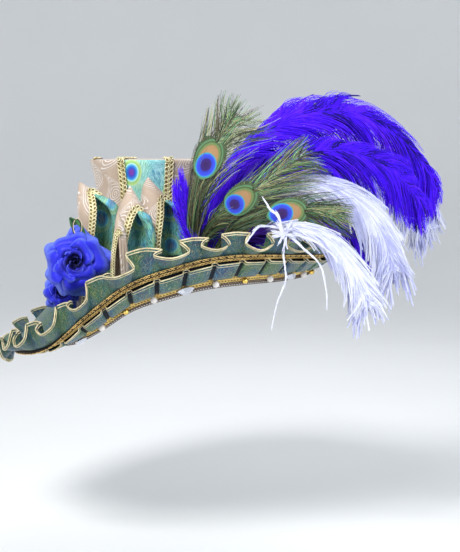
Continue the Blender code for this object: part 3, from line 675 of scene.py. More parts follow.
@dataclass(frozen=True)
class Brocade(Finish):
    """Taupe brocade with pale scrolls in half-drop repeat."""

    ground: Triple = (0.60, 0.47, 0.37)
    shade: Triple = (0.40, 0.30, 0.22)
    scroll: Triple = (0.88, 0.87, 0.88)
    width: float = 0.040
    height: float = 0.056

    def paint(self, dye: Dye) -> None:
        """Draws teardrops with triple outlines, curls inside them and threads across."""
        u, v = dye.chart()
        across = u / self.width
        column = across.op("FLOOR")
        up = v / self.height + column * 0.5
        x = (across - column - 0.5) * self.width * METRE
        y = (up.op("FRACT") - 0.5) * self.height * METRE
        bent = x + (y * y) * 0.03 - 3.0
        taper = (y * -0.035 + 1.0).op("MAXIMUM", 0.25)
        edge = ((bent / taper) ** 2.0 + (y * 0.62) ** 2.0).op("SQRT")
        rings = abs((edge / 2.9).op("FRACT") - 0.5)
        outline = rings.step(0.27, 0.42) * (edge.step(7.0, 8.0)) * (edge * -1.0).step(-17.6, -16.8)
        turn = (y + 6.0).op("ARCTAN2", bent)
        radius = (bent**2.0 + (y + 6.0) ** 2.0).op("SQRT")
        curl = abs((radius / 3.8 + turn * (1 / (2 * math.pi))).op("FRACT") - 0.5)
        inner = curl.step(0.28, 0.42) * (edge * -1.0).step(-8.0, -7.2)
        lines = outline.op("MAXIMUM", inner)
        cloudy = dye.noise(dye.vector(u, v), 60.0)
        ground = dye.mix(cloudy, self.shade, self.ground)
        thread = dye.weave(0.0011)
        ground = dye.mix(thread * 0.25, ground, (0.42, 0.34, 0.29))
        dye.set(Base_Color=dye.mix(lines * (cloudy * 0.9 + 0.25), ground, self.scroll), Roughness=0.62)
        dye.set(Sheen_Weight=0.25, Sheen_Roughness=0.4)
        dye.bump(lines * 0.6 + thread * 0.4, 0.0004, 0.6)


@dataclass(frozen=True)
class PeacockPrint(Finish):
    """Printed cotton with feather eyes, streaked barbs and fine gold lines."""

    width: float = 0.064
    height: float = 0.074
    u_shift: float = 0.0
    v_shift: float = 0.0
    eyes: float = 1.0
    pale: float = 0.0
    bright: float = 0.0
    gold: float = 0.5
    # share of painted shade: the whole print mixed towards near-black
    painted_shade: float = 0.0
    line_scale: float = 130.0

    def paint(self, dye: Dye) -> None:
        """Draws the eyes over streaks that fan out below them."""
        u, v = dye.chart()
        u, v = u + self.u_shift, v + self.v_shift
        across = u / self.width
        column = across.op("FLOOR")
        x = (across - column - 0.5) * self.width * METRE
        y = ((v / self.height + column * 0.5).op("FRACT") - 0.5) * self.height * METRE
        fan = x.op("ARCTAN2", y + 46.0)
        reach = (x**2.0 + (y + 46.0) ** 2.0).op("SQRT")
        streak = dye.noise(dye.vector(fan * 26.0, reach * 0.05, column), 2.2, 4.0, 0.6)
        wash = dye.noise(dye.vector(u, v), 34.0, 2.0)
        deep = dye.ramp(wash, [(0.30, (0.006, 0.05, 0.15)), (0.44, (0.008, 0.085, 0.13)),
                               (0.54, (0.010, 0.10, 0.08)), (0.68, (0.04, 0.13, 0.035))])
        light = dye.ramp(wash, [(0.30, (0.06, 0.38, 0.60)), (0.44, (0.10, 0.55, 0.58)),
                                (0.54, (0.16, 0.58, 0.42)), (0.68, (0.34, 0.62, 0.24))])
        deep = dye.mix(self.bright, deep, light)
        light = dye.mix(self.bright, light, (0.55, 0.92, 0.95))
        colour = dye.mix((streak + self.pale).step(0.42, 0.66), deep, light)
        if self.gold > 0:
            contour = dye.noise(dye.vector(u, v), self.line_scale, 3.0, 1.2)
            thin = abs((contour * 7.0).op("FRACT") - 0.5)
            colour = dye.mix(thin.step(0.40, 0.47) * self.gold, colour, (0.62, 0.52, 0.20))
        if self.eyes:
            ring = ((x * 1.12) ** 2.0 + (y * 0.92) ** 2.0).op("SQRT")
            eye = dye.ramp(ring / 22.0, [
                (0.0, (0.20, 0.03, 0.34)), (0.16, (0.16, 0.03, 0.42)), (0.24, (0.03, 0.06, 0.55)),
                (0.38, (0.02, 0.20, 0.75)), (0.48, (0.10, 0.58, 0.85)), (0.54, (0.60, 0.88, 0.88)),
                (0.60, (0.30, 0.62, 0.22)), (0.72, (0.42, 0.66, 0.20)), (0.80, (0.72, 0.80, 0.36)),
                (0.88, (0.30, 0.55, 0.20)), (1.0, (0.05, 0.36, 0.20)),
            ])
            colour = dye.mix((ring * -1.0).step(-19.0, -16.0) * self.eyes, colour, eye)
        # Woven threads darken the print a little; the last share adds painted shade towards near-black.
        thread = dye.weave(0.0009)
        colour = dye.mix(thread * 0.12 + self.painted_shade, colour, (0.0, 0.02, 0.03))
        dye.set(Base_Color=colour, Roughness=0.5, Sheen_Weight=0.15)
        dye.bump(thread, 0.0002, 0.4)


@dataclass(frozen=True)
class Yarn(Finish):
    """Metallic yarn, twisted, with darker hollows."""

    light: Triple = (0.98, 0.92, 0.60)
    dark: Triple = (0.48, 0.40, 0.17)
    metallic: float = 0.35
    roughness: float = 0.42

    def paint(self, dye: Dye) -> None:
        """Shades the yarn by fine noise, with a rough thread surface."""
        place = dye.place()
        grain = dye.noise(place, 1400.0, 2.0)
        cloudy = dye.noise(place, 90.0, 2.0)
        share = (grain * 0.7 + cloudy * 0.5).step(0.35, 0.75)
        dye.set(Base_Color=dye.mix(share, self.dark, self.light), Metallic=self.metallic)
        dye.set(Roughness=self.roughness)
        dye.bump(grain, 0.0003, 0.8)


@dataclass(frozen=True)
class Satin(Finish):
    """Petal cloth, with painted shade in the heart and a painted highlight along its rim."""

    # heart is painted shade and rim a painted highlight; body is the cloth's own colour.
    heart: Triple = (0.001, 0.001, 0.035)
    body: Triple = (0.018, 0.022, 0.62)
    rim: Triple = (0.16, 0.24, 1.0)

    def paint(self, dye: Dye) -> None:
        """Runs the colours from painted shade at the petal's foot to a painted highlight at its rim, with
        fine veins.
        """
        u, v = dye.chart()
        whole = (v * METRE).op("FLOOR")
        long = (v * METRE - whole) * 1.05
        vein = dye.noise(dye.vector(u * 900.0, long * 1.5, whole), 1.0, 3.0)
        # Inner rings, by the whole number, and each petal's foot take more painted shade.
        share = long * (whole * 0.056 + 0.44) + (vein - 0.5) * 0.22
        colour = dye.ramp(share, [(0.42, self.heart), (0.66, self.body), (0.84, self.body), (0.99, self.rim)])
        # Painted highlight along each petal's lip.
        colour = dye.mix(long.step(0.90, 0.98) * 0.55, colour, self.rim)
        dye.set(Base_Color=colour, Roughness=0.5, Specular_IOR_Level=0.3)
        dye.bump(vein, 0.0006, 0.5)


@dataclass(frozen=True)
class PlumeDye(Finish):
    """Ostrich barbs, with painted shade towards the quill and a painted highlight towards the tip."""

    # root is painted shade near the quill and tip a painted highlight.
    root: Triple = (0.004, 0.0, 0.10)
    body: Triple = (0.062, 0.002, 1.0)
    tip: Triple = (0.14, 0.02, 1.0)
    # foot is painted shade over a white plume's lowest barbs.
    foot: Triple = (0.035, 0.006, 0.22)
    foot_shade_end: float = 0.0

    def paint(self, dye: Dye) -> None:
        """Shades each barb by its own tone and by its length, with painted shade towards the quill and a
        painted highlight at the tip, and paints the foot of a white plume dark as painted shade.
        """
        u, v = dye.chart()
        tone = dye.tone()
        length = v * METRE
        flock = dye.noise(dye.place(), 260.0, 2.0)
        share = length * 0.30 + tone * 0.75 + flock * 0.15
        colour = dye.ramp(share, [(0.22, self.root), (0.56, self.body), (1.05, self.tip)])
        if self.foot_shade_end > 0:
            # A white plume's barbs near the quill take the dark foot colour as painted shade.
            colour = dye.mix((u * METRE).step(self.foot_shade_end - 0.10, self.foot_shade_end), self.foot, colour)
        dye.set(Base_Color=colour, Roughness=0.85, Specular_IOR_Level=0.25)


@dataclass(frozen=True)
class PeacockDye(Finish):
    """Peacock barbs, with the eye drawn across them from the feather's own chart."""

    eye_half: float = 20.0

    def paint(self, dye: Dye) -> None:
        """Draws the eye's rings round its place and olive barbs beyond them."""
        u, v = dye.chart()
        tone = dye.tone()
        x, y = u * (METRE / self.eye_half), v * (METRE / self.eye_half)
        outer = ((x * 1.18) ** 2.0 + ((y - 0.05) * 0.90) ** 2.0).op("SQRT")
        inner = ((x * 1.0) ** 2.0 + (y + 0.34) ** 2.0).op("SQRT")
        barb = dye.ramp(tone, [
            (0.0, (0.004, 0.006, 0.010)), (0.24, (0.012, 0.030, 0.020)), (0.40, (0.07, 0.05, 0.025)),
            (0.54, (0.030, 0.13, 0.045)), (0.70, (0.17, 0.11, 0.06)), (0.84, (0.10, 0.36, 0.14)),
            (1.0, (0.40, 0.38, 0.18)),
        ])
        rings = dye.ramp(outer / 1.3, [
            (0.0, (0.46, 0.27, 0.13)), (0.52, (0.42, 0.24, 0.11)), (0.60, (0.20, 0.22, 0.07)),
            (0.66, (0.14, 0.27, 0.09)), (0.72, (0.06, 0.08, 0.03)), (0.80, (0.12, 0.30, 0.13)),
            (0.87, (0.06, 0.09, 0.04)), (1.0, (0.05, 0.08, 0.04)),
        ])
        heart = dye.ramp(inner / 0.72, [
            (0.0, (0.026, 0.002, 0.09)), (0.46, (0.036, 0.004, 0.17)), (0.56, (0.02, 0.05, 0.62)),
            (0.84, (0.04, 0.08, 0.82)), (0.92, (0.03, 0.34, 0.62)), (1.0, (0.06, 0.36, 0.30)),
        ])
        eye = dye.mix((inner * -1.0).step(-0.74, -0.70), rings, heart)
        eye = dye.mix(tone * 0.22, eye, (0.02, 0.02, 0.02))
        colour = dye.mix((outer * -1.0).step(-1.22, -1.10), barb, eye)
        dye.set(Base_Color=colour, Roughness=0.42, Metallic=0.15, Sheen_Weight=0.1)


@dataclass(frozen=True)
class Plain(Finish):
    """A finish of one body colour, varied by fine noise."""

    colour: Triple = (0.8, 0.8, 0.8)
    dark: Triple = (0.6, 0.6, 0.6)
    grain: float = 400.0
    roughness: float = 0.5
    metallic: float = 0.0
    coat: float = 0.0
    clear: float = 0.0

    def paint(self, dye: Dye) -> None:
        """Sets the colours and gloss."""
        grain = dye.noise(dye.place(), self.grain, 3.0)
        dye.set(Base_Color=dye.mix(grain, self.dark, self.colour), Metallic=self.metallic)
        dye.set(Roughness=self.roughness, Coat_Weight=self.coat, Coat_Roughness=0.08)
        dye.set(Transmission_Weight=self.clear, IOR=1.55)
        dye.bump(grain, 0.0002, 0.15)


BROCADE = Brocade("taupe brocade with scrolls", "taupe_brocade")
CROWN_PRINT = PeacockPrint("feather print on the crown", "peacock_print", gold=0.15, pale=0.06, bright=0.75,
                           u_shift=0.0181, v_shift=-0.022)
# The print of the brim, ruffles and pad, darkened as painted shade: a low pale leaves few light streaks, and
# a near-black share is mixed in.
FRILL_PRINT = PeacockPrint("feather print with gold lines", "peacock_print", eyes=0.0, pale=-0.11, gold=0.75,
                           painted_shade=0.30)
POINT_PRINT = PeacockPrint("feather print in the points", "peacock_print", pale=0.05, bright=0.12, gold=0.45,
                           eyes=0.45, width=0.052, height=0.06, u_shift=0.022, v_shift=0.012)
PALE_GIMP = Yarn("pale gold gimp", "gold_braid")
BRIGHT_GIMP = Yarn("bright gold gimp", "gold_braid", light=(0.95, 0.70, 0.24), dark=(0.42, 0.26, 0.06))
DARK_GIMP = Yarn("dark gold gimp", "dark_gold_braid", light=(0.92, 0.64, 0.22), dark=(0.20, 0.11, 0.03))
CREAM_CORD = Yarn("cream gold cord", "gold_braid", light=(0.80, 0.72, 0.48), dark=(0.36, 0.28, 0.13),
                  metallic=0.2)
PEARL = Plain("pearl", "pearl", colour=(0.82, 0.78, 0.73), dark=(0.62, 0.57, 0.53), roughness=0.25, coat=0.8)
GOLD_BEAD = Plain("gold bead", "gold_bead", colour=(0.95, 0.70, 0.20), dark=(0.75, 0.48, 0.10),
                  roughness=0.22, metallic=0.9)
CRYSTAL = Plain("cut crystal", "crystal", colour=(0.80, 0.82, 0.90), dark=(0.55, 0.57, 0.66),
                roughness=0.05, metallic=0.6, coat=1.0, clear=0.2)
LACE = Plain("taupe lace", "lace", colour=(0.22, 0.15, 0.10), dark=(0.11, 0.075, 0.05), roughness=0.9)
ROSE_SATIN = Satin("rose satin", "rose_cloth")
LEAF_SATIN = Satin("leaf satin", "leaf_cloth", heart=(0.01, 0.04, 0.015), body=(0.04, 0.15, 0.04),
                   rim=(0.16, 0.30, 0.12))
BLUE_BARBS = PlumeDye("blue ostrich barbs", "blue_feather")
# Their bluish root is painted shade and their light tip a painted highlight.
WHITE_BARBS = PlumeDye("white ostrich barbs", "white_feather", root=(0.42, 0.44, 0.74),
                       body=(0.66, 0.69, 0.92), tip=(0.90, 0.91, 0.98), foot_shade_end=0.40)
PEACOCK_BARBS = PeacockDye("peacock barbs", "peacock_feather")
PEACOCK_SHAFT = Plain("feather shaft", "peacock_feather", colour=(0.16, 0.13, 0.06), dark=(0.05, 0.04, 0.02))
# The gimps' tapes are real, but their dark colours are painted shadow between the loops.
SHADOW_DARK_TAPE = Plain("gimp tape painted dark as shadow", "dark_gold_braid", colour=(0.035, 0.02, 0.01), dark=(0.01, 0.006, 0.004),
                  roughness=0.8)
SHADOW_GOLD_TAPE = Plain("gimp tape painted dark gold as shadow", "gold_braid", colour=(0.42, 0.29, 0.10), dark=(0.18, 0.12, 0.04),
                  roughness=0.7)
SHADE_GAP_CLOTH = Plain("shaded cloth between the pleats", "peacock_print", colour=(0.006, 0.014, 0.022),
                  dark=(0.002, 0.004, 0.008), roughness=0.9)
WIRE = Plain("black wire", "dark_gold_braid", colour=(0.02, 0.02, 0.02), dark=(0.01, 0.01, 0.01),
             roughness=0.4)


# Braids


@dataclass
class Gimp:
    """A gimp braid: a flat tape under rows of curled yarn loops."""

    half: float
    thick: float
    long: float = 3.3
    short: float = 2.5
    wire: float = 0.95
    step: float = 6.2
    lean: float = 0.7
    rows: tuple[float, ...] = (-0.5, 0.5)

    def lay(self, path: Array, out: Array) -> Sketch:
        """Lays the braid.

        Args:
            path: middle of the braid's seat, (count, 3).
            out: the way out of what it is sewn to, (count, 3).

        Returns:
            The loops in the first slot and the tape in the second.
        """
        edge, low, high = 0.8 * self.half, 0.15, 0.42 * self.thick
        whole = swept(path, out, np.array([(-edge, low), (edge, low), (edge, high), (-edge, high)]))
        # The tape takes the second finish, dark as painted shadow between the loops.
        for face in whole.faces:
            face.material_index = 1
        loops = ring_shape(self.long, self.short, self.wire)
        run = lengths_along(path)
        places = []
        for number, row in enumerate(self.rows):
            wanted = np.arange(self.step * (0.5 + 0.5 * number), run[-1], self.step)
            centres, outs = (read_at(wanted, run, a) for a in (path, out))
            lean = self.lean if row > 0 else -self.lean
            places.append(set_along(loops, centres, outs, lean, row * self.half, self.thick - self.wire))
        add_copies(whole, loops, np.concatenate(places), 0)
        return whole


# The hat's cloth


@dataclass
class Crown:
    """The bell crown in six panels, with gimp up its seams."""

    columns: int = 192
    levels: int = 30
    first_seam: float = -124.0
    printed_panel: float = 47.0
    brocade_panel: float = 73.0
    mean_radius: float = 86.0
    braid_half: float = 6.5
    braid_thick: float = 3.0
    braid_fold: float = 12.0
    braid_off: float = 0.6
    pucker: float = 0.5

    def seams(self) -> list[float]:
        """Angles of the six seams."""
        angles = [self.first_seam]
        for number in range(5):
            angles.append(angles[-1] + (self.brocade_panel if number % 2 else self.printed_panel))
        return angles

    def section(self, angle: float) -> Array:
        """The wall's closed section at an angle: up the outside, over the roof and down the inside."""
        foot = FORM.seat_height(angle) - FORM.brim_wall / 2
        top, wall = FORM.crown_height, FORM.crown_wall
        near = min(abs((angle - seam + 180) % 360 - 180) for seam in self.seams())
        points = []
        for z in np.linspace(foot, top - 1.0, self.levels):
            pull = self.pucker * math.exp(-near / 5.0) * math.sin(z * 0.45 + angle)
            points.append(polar(angle, FORM.crown_radius(angle, z) - abs(pull), z))
        rim = FORM.crown_radius(angle, top)
        for share in (0.99, 0.95, 0.85, 0.7, 0.5, 0.25, 0.0):
            points.append(polar(angle, rim * share, top + 2.0 - 2.0 * share**3))
        for share in (0.0, 0.3, 0.6, 0.9):
            points.append(polar(angle, rim * share, top - wall))
        for z in np.linspace(top - wall, foot, 12):
            points.append(polar(angle, FORM.crown_radius(angle, z) - wall, z))
        return np.array([tuple(p) for p in [*points, points[0]]])

    def build(self) -> None:
        """Makes the crown and its six braids."""
        angles = np.linspace(-180.0, 180.0, self.columns + 1)
        points = np.array([self.section(angle) for angle in angles])
        run_round = np.radians(angles - self.first_seam) * self.mean_radius
        chart = charted(run_round[:, None], np.array([lengths_along(section) for section in points]))
        sketch = closed_up(sheet_of(points, chart))
        seams = self.seams()
        for face in sketch.faces:
            place = face.calc_center_median()
            angle = math.degrees(math.atan2(place.y, place.x))
            panel = max((k for k in range(6) if (angle - seams[0]) % 360 >= seams[k] - seams[0]))
            outside = math.hypot(place.x, place.y) > FORM.crown_radius(angle, place.z) - 1.5
            face.material_index = 1 if outside and panel % 2 == 0 else 0
        finished("crown_cloth", sketch, [BROCADE, CROWN_PRINT], "crown")
        for number, seam in enumerate(seams, 1):
            self.braid(number, seam)

    def braid(self, number: int, angle: float) -> None:
        """Lays one gimp braid up a seam and over the top edge."""
        foot, top = FORM.seat_height(angle) + FORM.brim_wall / 2 + 2.5, FORM.crown_height
        places, outs = [], []
        for z in np.linspace(foot, top - 0.5, 24):
            places.append(tuple(polar(angle, FORM.crown_radius(angle, z) + self.braid_off, z)))
            outs.append(tuple(polar(angle, 1.0, 0.0)))
        rim = FORM.crown_radius(angle, top) + self.braid_off
        for share in (0.0, 0.12, 0.4, 1.0):
            places.append(tuple(polar(angle, rim - share * self.braid_fold, top + 0.9 + 0.5 * share)))
            outs.append(tuple(Vector((0, 0, 1)) + polar(angle, 0.8 * (1 - share), 0.0)))
        run = lengths_along(np.array(places))
        path, out = (read_at(np.linspace(0, run[-1], 80), run, np.array(a)) for a in (places, outs))
        sketch = Gimp(self.braid_half, self.braid_thick).lay(path, out)
        finished(f"crown_gimp_{number}", sketch, [PALE_GIMP, SHADOW_GOLD_TAPE], f"seam_braid_{number}")


@dataclass
class Brim:
    """The brim's cloth over its stiff form, with the braids, beads and lace under its edge."""

    stones: Sequence[Piece]
    columns: int = 240
    frill_flutes: int = 26
    frill_stand: Table = (
        # angle from the back, slope that the ruffle stands at, its width
        (0.0, 0.5, 32.0), (25.0, 0.55, 32.0), (51.0, 0.8, 32.0), (72.0, 1.35, 32.0), (93.0, 1.7, 32.0),
        (113.0, 1.7, 32.0), (134.0, 1.4, 31.0), (155.0, 0.9, 27.0), (168.0, 0.0, 24.0), (180.0, -1.2, 25.0),
    )
    frill_wave: float = 12.0
    frill_sway: float = 12.0
    frill_scallop: float = 5.0
    frill_pinch: float = 3.0
    frill_steps: int = 28
    frill_cut: float = 30.0
    pleats: int = 40
    pleat_steps: int = 32
    pleat_profile: Table = (
        # share of a pleat's width, its rise
        (0.0, 0.0), (0.08, 0.0), (0.10, 0.5), (0.12, 0.95), (0.16, 1.0), (0.5, 1.05), (0.84, 0.95),
        (0.88, 0.9), (0.90, 0.4), (0.92, 0.0), (1.0, 0.0),
    )
    pleat_start: float = 0.19
    pleat_end: float = 0.85
    pleat_off: float = 1.9
    pleat_depth: float = 6.6
    pleat_cut: float = 19.0
    pleat_chart: float = 400.0
    mean_radius: float = 210.0
    bead_count: int = 32
    pearl_radius: float = 4.8
    gold_radius: float = 4.3
    seed: int = 7
    knot_radius: float = 2.0
    knot_step: float = 11.5
    angles: Array = field(init=False)
    fine_angles: Array = field(init=False)

    def __post_init__(self) -> None:
        """Sets the angles of the brim's columns and of the braids, whose last meets the first."""
        self.angles = np.linspace(0.0, 360.0, self.columns + 1)
        self.fine_angles = np.linspace(0.0, 360.0, 2 * self.columns + 1)

    def build(self) -> None:
        """Makes the brim and all that is sewn to its edge."""
        self.cloth()
        self.upper_frill()
        self.lower_frill()
        self.braids()
        self.beads()
        self.lace()

    def cloth(self) -> None:
        """The brim's cloth on both sides."""
        rows = []
        for angle in self.angles:
            hole, border, edge = FORM.hole_radius(angle), FORM.border_radius(angle), FORM.edge_radius(angle)
            radii = [*np.linspace(hole, border, 13)[:-1], *np.linspace(border, edge, 9)]
            upper = [FORM.on_brim(angle, r, FORM.brim_wall / 2) for r in radii]
            lower = [FORM.on_brim(angle, r, -FORM.brim_wall / 2) for r in radii]
            rows.append([tuple(p) for p in [*upper, *reversed(lower), upper[0]]])
        points = np.array(rows)
        chart = charted((np.radians(self.angles) * self.mean_radius)[:, None], lengths_along(points[0]))
        sketch = closed_up(sheet_of(points, chart))
        flat = sketch.loops.layers.uv.active
        # The brim's edge and the outer underside next to it, between the edge gimp and the pleats, take the
        # second finish: near-black painted shade.
        low, high = chart[0, 20, 1] * MM, chart[0, 26, 1] * MM
        for face in sketch.faces:
            face.material_index = 1 if low < middle_uv(face, flat, 1) < high else 0
        finished("brim_cloth", sketch, [FRILL_PRINT, SHADE_GAP_CLOTH], "brim")

    def upper_frill(self) -> None:
        """The S-folded ruffle beyond the edge, with twin cords on its lip."""
        rng = np.random.default_rng(self.seed)
        count = self.frill_flutes * self.frill_steps
        wobble = rng.uniform(-1, 1, (4, self.frill_flutes + 1))
        wobble[:, -1] = wobble[:, 0]
        steps = np.linspace(0, self.frill_flutes, count + 1)
        knots = np.arange(self.frill_flutes + 1)
        size, stray, shift, sway = (np.interp(steps, knots, row) for row in wobble)
        reach = np.linspace(0.0, 1.0, 12)
        points = np.zeros((count + 1, len(reach), 3))
        for i, step in enumerate(steps):
            angle = 360.0 * step / self.frill_flutes
            slope, width = between(self.frill_stand, abs((angle + 180.0) % 360.0 - 180.0))
            edge = FORM.edge_radius(angle)
            root = FORM.on_brim(angle, edge, 0.0)
            band = (FORM.on_brim(angle, edge + 1.0, 0.0) - root).normalized()
            outward = polar(angle, 1.0, slope).normalized()
            sideways = Vector((-math.sin(math.radians(angle)), math.cos(math.radians(angle)), 0.0))
            off = outward.cross(sideways)
            turn = 2 * math.pi * step + 0.8 * shift[i]
            wave = self.frill_wave * (1 + 0.3 * size[i]) * zigzag(turn)
            side = -self.frill_sway * (1 + 0.35 * sway[i]) * zigzag(2 * turn)
            long = width + self.frill_scallop * (1 + 0.6 * stray[i]) * zigzag(turn) + 2.5 * size[i]
            wave += self.frill_pinch * math.sin(2 * turn + 0.8 + stray[i])
            long += 0.7 * self.frill_pinch * math.sin(2 * turn + 2.4 + sway[i])
            root = root + band * 0.7
            for j, share in enumerate(reach):
                swell = share**0.8
                points[i, j] = root + outward * (long * share) + (off * wave + sideways * side) * swell
        chart = charted(lengths_along(points[:, -1])[:, None], reach * self.frill_cut)
        sketch = closed_up(sheet_of(points, chart))
        frill = finished("ruffle_upper", sketch, [FRILL_PRINT], "upper_frill")
        thicken(frill, 1.0)
        self.lip_cords("ruffle_cords", points, ((1.0, 1.05, 0.0), (0.91, 0.75, 0.9), (0.91, 0.75, -0.9)))

    def lip_cords(self, name: str, points: Array, cords: Sequence[Triple]) -> None:
        """Cords sewn along a ruffle's lip.

        Args:
            name: the piece's name.
            points: the ruffle's places, (columns, rows, 3).
            cords: for each, its share of the ruffle's width, its radius, and how far it stands off the cloth.
        """
        sketches = []
        lip = points[:, -1]
        run = np.gradient(lip, axis=0)
        run[0] = run[-1] = lip[1] - lip[-2]
        out = unit(np.cross(lip - points[:, -2], run))
        for share, radius, off in cords:
            at = share * (points.shape[1] - 1)
            low = min(int(at), points.shape[1] - 2)
            path = points[:, low] + (points[:, low + 1] - points[:, low]) * (at - low)
            sketches.append(tube_of(path + out * off, radius, 5))
        finished(name, together(sketches), [CREAM_CORD])

    def lower_frill(self) -> None:
        """Box pleats under the band, each with a gold lip."""
        rng = np.random.default_rng(self.seed + 1)
        shares, heights = zip(*self.pleat_profile)
        steps = np.arange(self.pleats * self.pleat_steps + 1) / self.pleat_steps
        reach = np.linspace(0.0, 1.0, 7)
        tall = rng.uniform(0.85, 1.2, self.pleats)
        tilt = rng.uniform(-0.8, 0.8, self.pleats)
        near = FORM.brim_wall / 2 + self.pleat_off
        points = np.zeros((len(steps), len(reach), 3))
        for i, step in enumerate(steps):
            pleat, share = divmod(step, 1.0)
            pleat = int(pleat) % self.pleats
            angle = 360.0 * step / self.pleats
            rise = float(np.interp(share, shares, heights)) * tall[pleat]
            border = FORM.border_radius(angle)
            start, end = (border + part * FORM.band_width for part in (self.pleat_start, self.pleat_end))
            for j, along in enumerate(reach):
                height = near + self.pleat_depth * rise * (0.4 + 0.6 * along**0.7)
                radius = start + (end - start + tilt[pleat] * (share - 0.5)) * along
                points[i, j] = FORM.on_brim(angle, radius, -height)
        points[-1] = points[0]
        run = lengths_along(points[:, 0])
        sketch = sheet_of(points, charted(run[:, None] + self.pleat_chart, reach * self.pleat_cut))
        flat = sketch.loops.layers.uv.active
        # The flat strips between the pleats take the second finish: near-black painted shade.
        for face in sketch.faces:
            middle = middle_uv(face, flat, 0) / MM - self.pleat_chart
            share = math.modf(float(np.interp(middle, run, steps)))[0]
            face.material_index = 0 if 0.10 < share < 0.90 else 1
        frill = finished("ruffle_lower", closed_up(sketch), [FRILL_PRINT, SHADE_GAP_CLOTH], "lower_frill")
        thicken(frill, 0.9)
        self.lip_cords("pleat_cords", points, ((1.0, 0.85, 0.0), (0.87, 0.45, -0.6)))

    def under_path(self, radius: Callable[[float], float], off: float) -> tuple[Array, Array]:
        """A path under the brim.

        Args:
            radius: its radius at each angle.
            off: how far it hangs off the brim's middle.

        Returns:
            The path, which ends where it starts, and the way off the brim there.
        """
        path = np.array([FORM.on_brim(a, radius(a), -off) for a in self.fine_angles])
        out = np.array([-FORM.brim_up(a, radius(a)) for a in self.fine_angles])
        return path, out

    def braids(self) -> None:
        """The dark gimp over the ruffle's seam, and the bright braid on the band's border."""
        wall = FORM.brim_wall / 2
        path, out = self.under_path(FORM.edge_radius, wall + 1.0)
        dark = Gimp(4.3, 3.0, long=2.5, short=1.5, wire=0.7, step=5.0, lean=0.35, rows=(-0.7, 0.7))
        sketch = dark.lay(path, out)
        knots = bmesh.new()
        bmesh.ops.create_icosphere(knots, subdivisions=1, radius=self.knot_radius)
        even = spaced(path, self.knot_step)
        outs = unit(np.array([out[np.argmin(np.linalg.norm(path - p, axis=1))] for p in even]))
        add_copies(sketch, knots, set_along(knots, even, outs, across=3.0, lift=self.knot_radius), 1)
        finished("edge_gimp_braid", sketch, [DARK_GIMP, SHADOW_DARK_TAPE], "edge_gimp")
        chords = [FORM.braid_chord(angle, wall + 1.3) for angle in self.fine_angles]
        path = np.array([tuple((inside + outside) / 2) for inside, outside, _ in chords])
        out = np.array([way for _, _, way in chords]) + 0.75 * unit(path * (1, 1, 0))
        sketch = Gimp(4.6, 3.0, long=2.7, short=2.0, wire=0.82, step=4.6).lay(path, out)
        finished("bead_braid_gimp", sketch, [BRIGHT_GIMP, SHADOW_GOLD_TAPE], "bead_braid")

    def bead_places(self) -> list[tuple[float, str]]:
        """Angle and kind of each bead, evenly spaced along the braid."""
        angles = np.linspace(0.0, 360.0, 721)
        path = np.array([FORM.on_brim(a, FORM.border_radius(a), 0.0) for a in angles])
        run = lengths_along(path)
        kinds = ("crystal", "pearl", "gold", "pearl")
        wanted = run[-1] * (np.arange(self.bead_count) + 0.5) / self.bead_count
        return [(float(np.interp(w, run, angles)), kinds[i % 4]) for i, w in enumerate(wanted)]

    def beads(self) -> None:
        """Pearls and fluted gold beads sewn along the braid; the cut stones keep their own solids."""
        off = FORM.brim_wall / 2 + 3.7
        kinds = (("pearl", self.pearl_radius, PEARL), ("gold", self.gold_radius, GOLD_BEAD))
        for kind, radius, finish in kinds:
            shape = bmesh.new()
            bmesh.ops.create_uvsphere(shape, u_segments=16, v_segments=10, radius=radius)
            if kind == "gold":
                for vert in shape.verts:
                    flute = 1 + 0.10 * math.cos(8 * math.atan2(vert.co.y, vert.co.x))
                    vert.co.x *= flute
                    vert.co.y *= flute
            chords = [FORM.braid_chord(angle, off) for angle, named in self.bead_places() if named == kind]
            path = np.array([tuple(outside.lerp(inside, 0.35) + way * (radius - 0.6))
                             for inside, outside, way in chords])
            out = np.array([way for _, _, way in chords])
            piece = finished(f"{kind}_beads", joined_copies(shape, set_along(shape, path, out)), [finish])
            LOG.info("%s: %d", piece.name, len(chords))
        for stone in self.stones:
            stone.material_slots[0].material = CRYSTAL.material()

    def lace(self) -> None:
        """A narrow lace that hangs from the braid, all loops."""
        loops = ring_shape(2.3, 1.9, 0.75, 6, 3)
        path, _ = self.under_path(lambda a: FORM.border_radius(a) - 3.0, FORM.brim_wall / 2 + 1.5)
        path = spaced(path, 3.8)
        out = path * (1, 1, 0)
        layers = []
        for row, drop in enumerate((1.0, 3.2, 5.4, 7.6)):
            shifted = path - (0, 0, 1) * np.full((len(path), 1), drop)
            if row % 2:
                shifted = (shifted + np.roll(shifted, -1, axis=0)) / 2
            layers.append(set_along(loops, shifted, out))
        finished("lace_edging", joined_copies(loops, np.concatenate(layers)), [LACE])


def thicken(piece: Piece, thickness: float, inside: int = 0) -> None:
    """Gives a sheet its thickness, with another finish on its far side if asked."""
    shell = piece.modifiers.new("thickness", "SOLIDIFY")
    shell.thickness = thickness * MM
    shell.offset = 0.0
    shell.material_offset = shell.material_offset_rim = inside


@dataclass(frozen=True)
class PointShape:
    """Places and sizes of one folded point."""

    name: str
    tip: float
    mouth: float
    spread: float
    top: float
    roll: float
    stations: Table


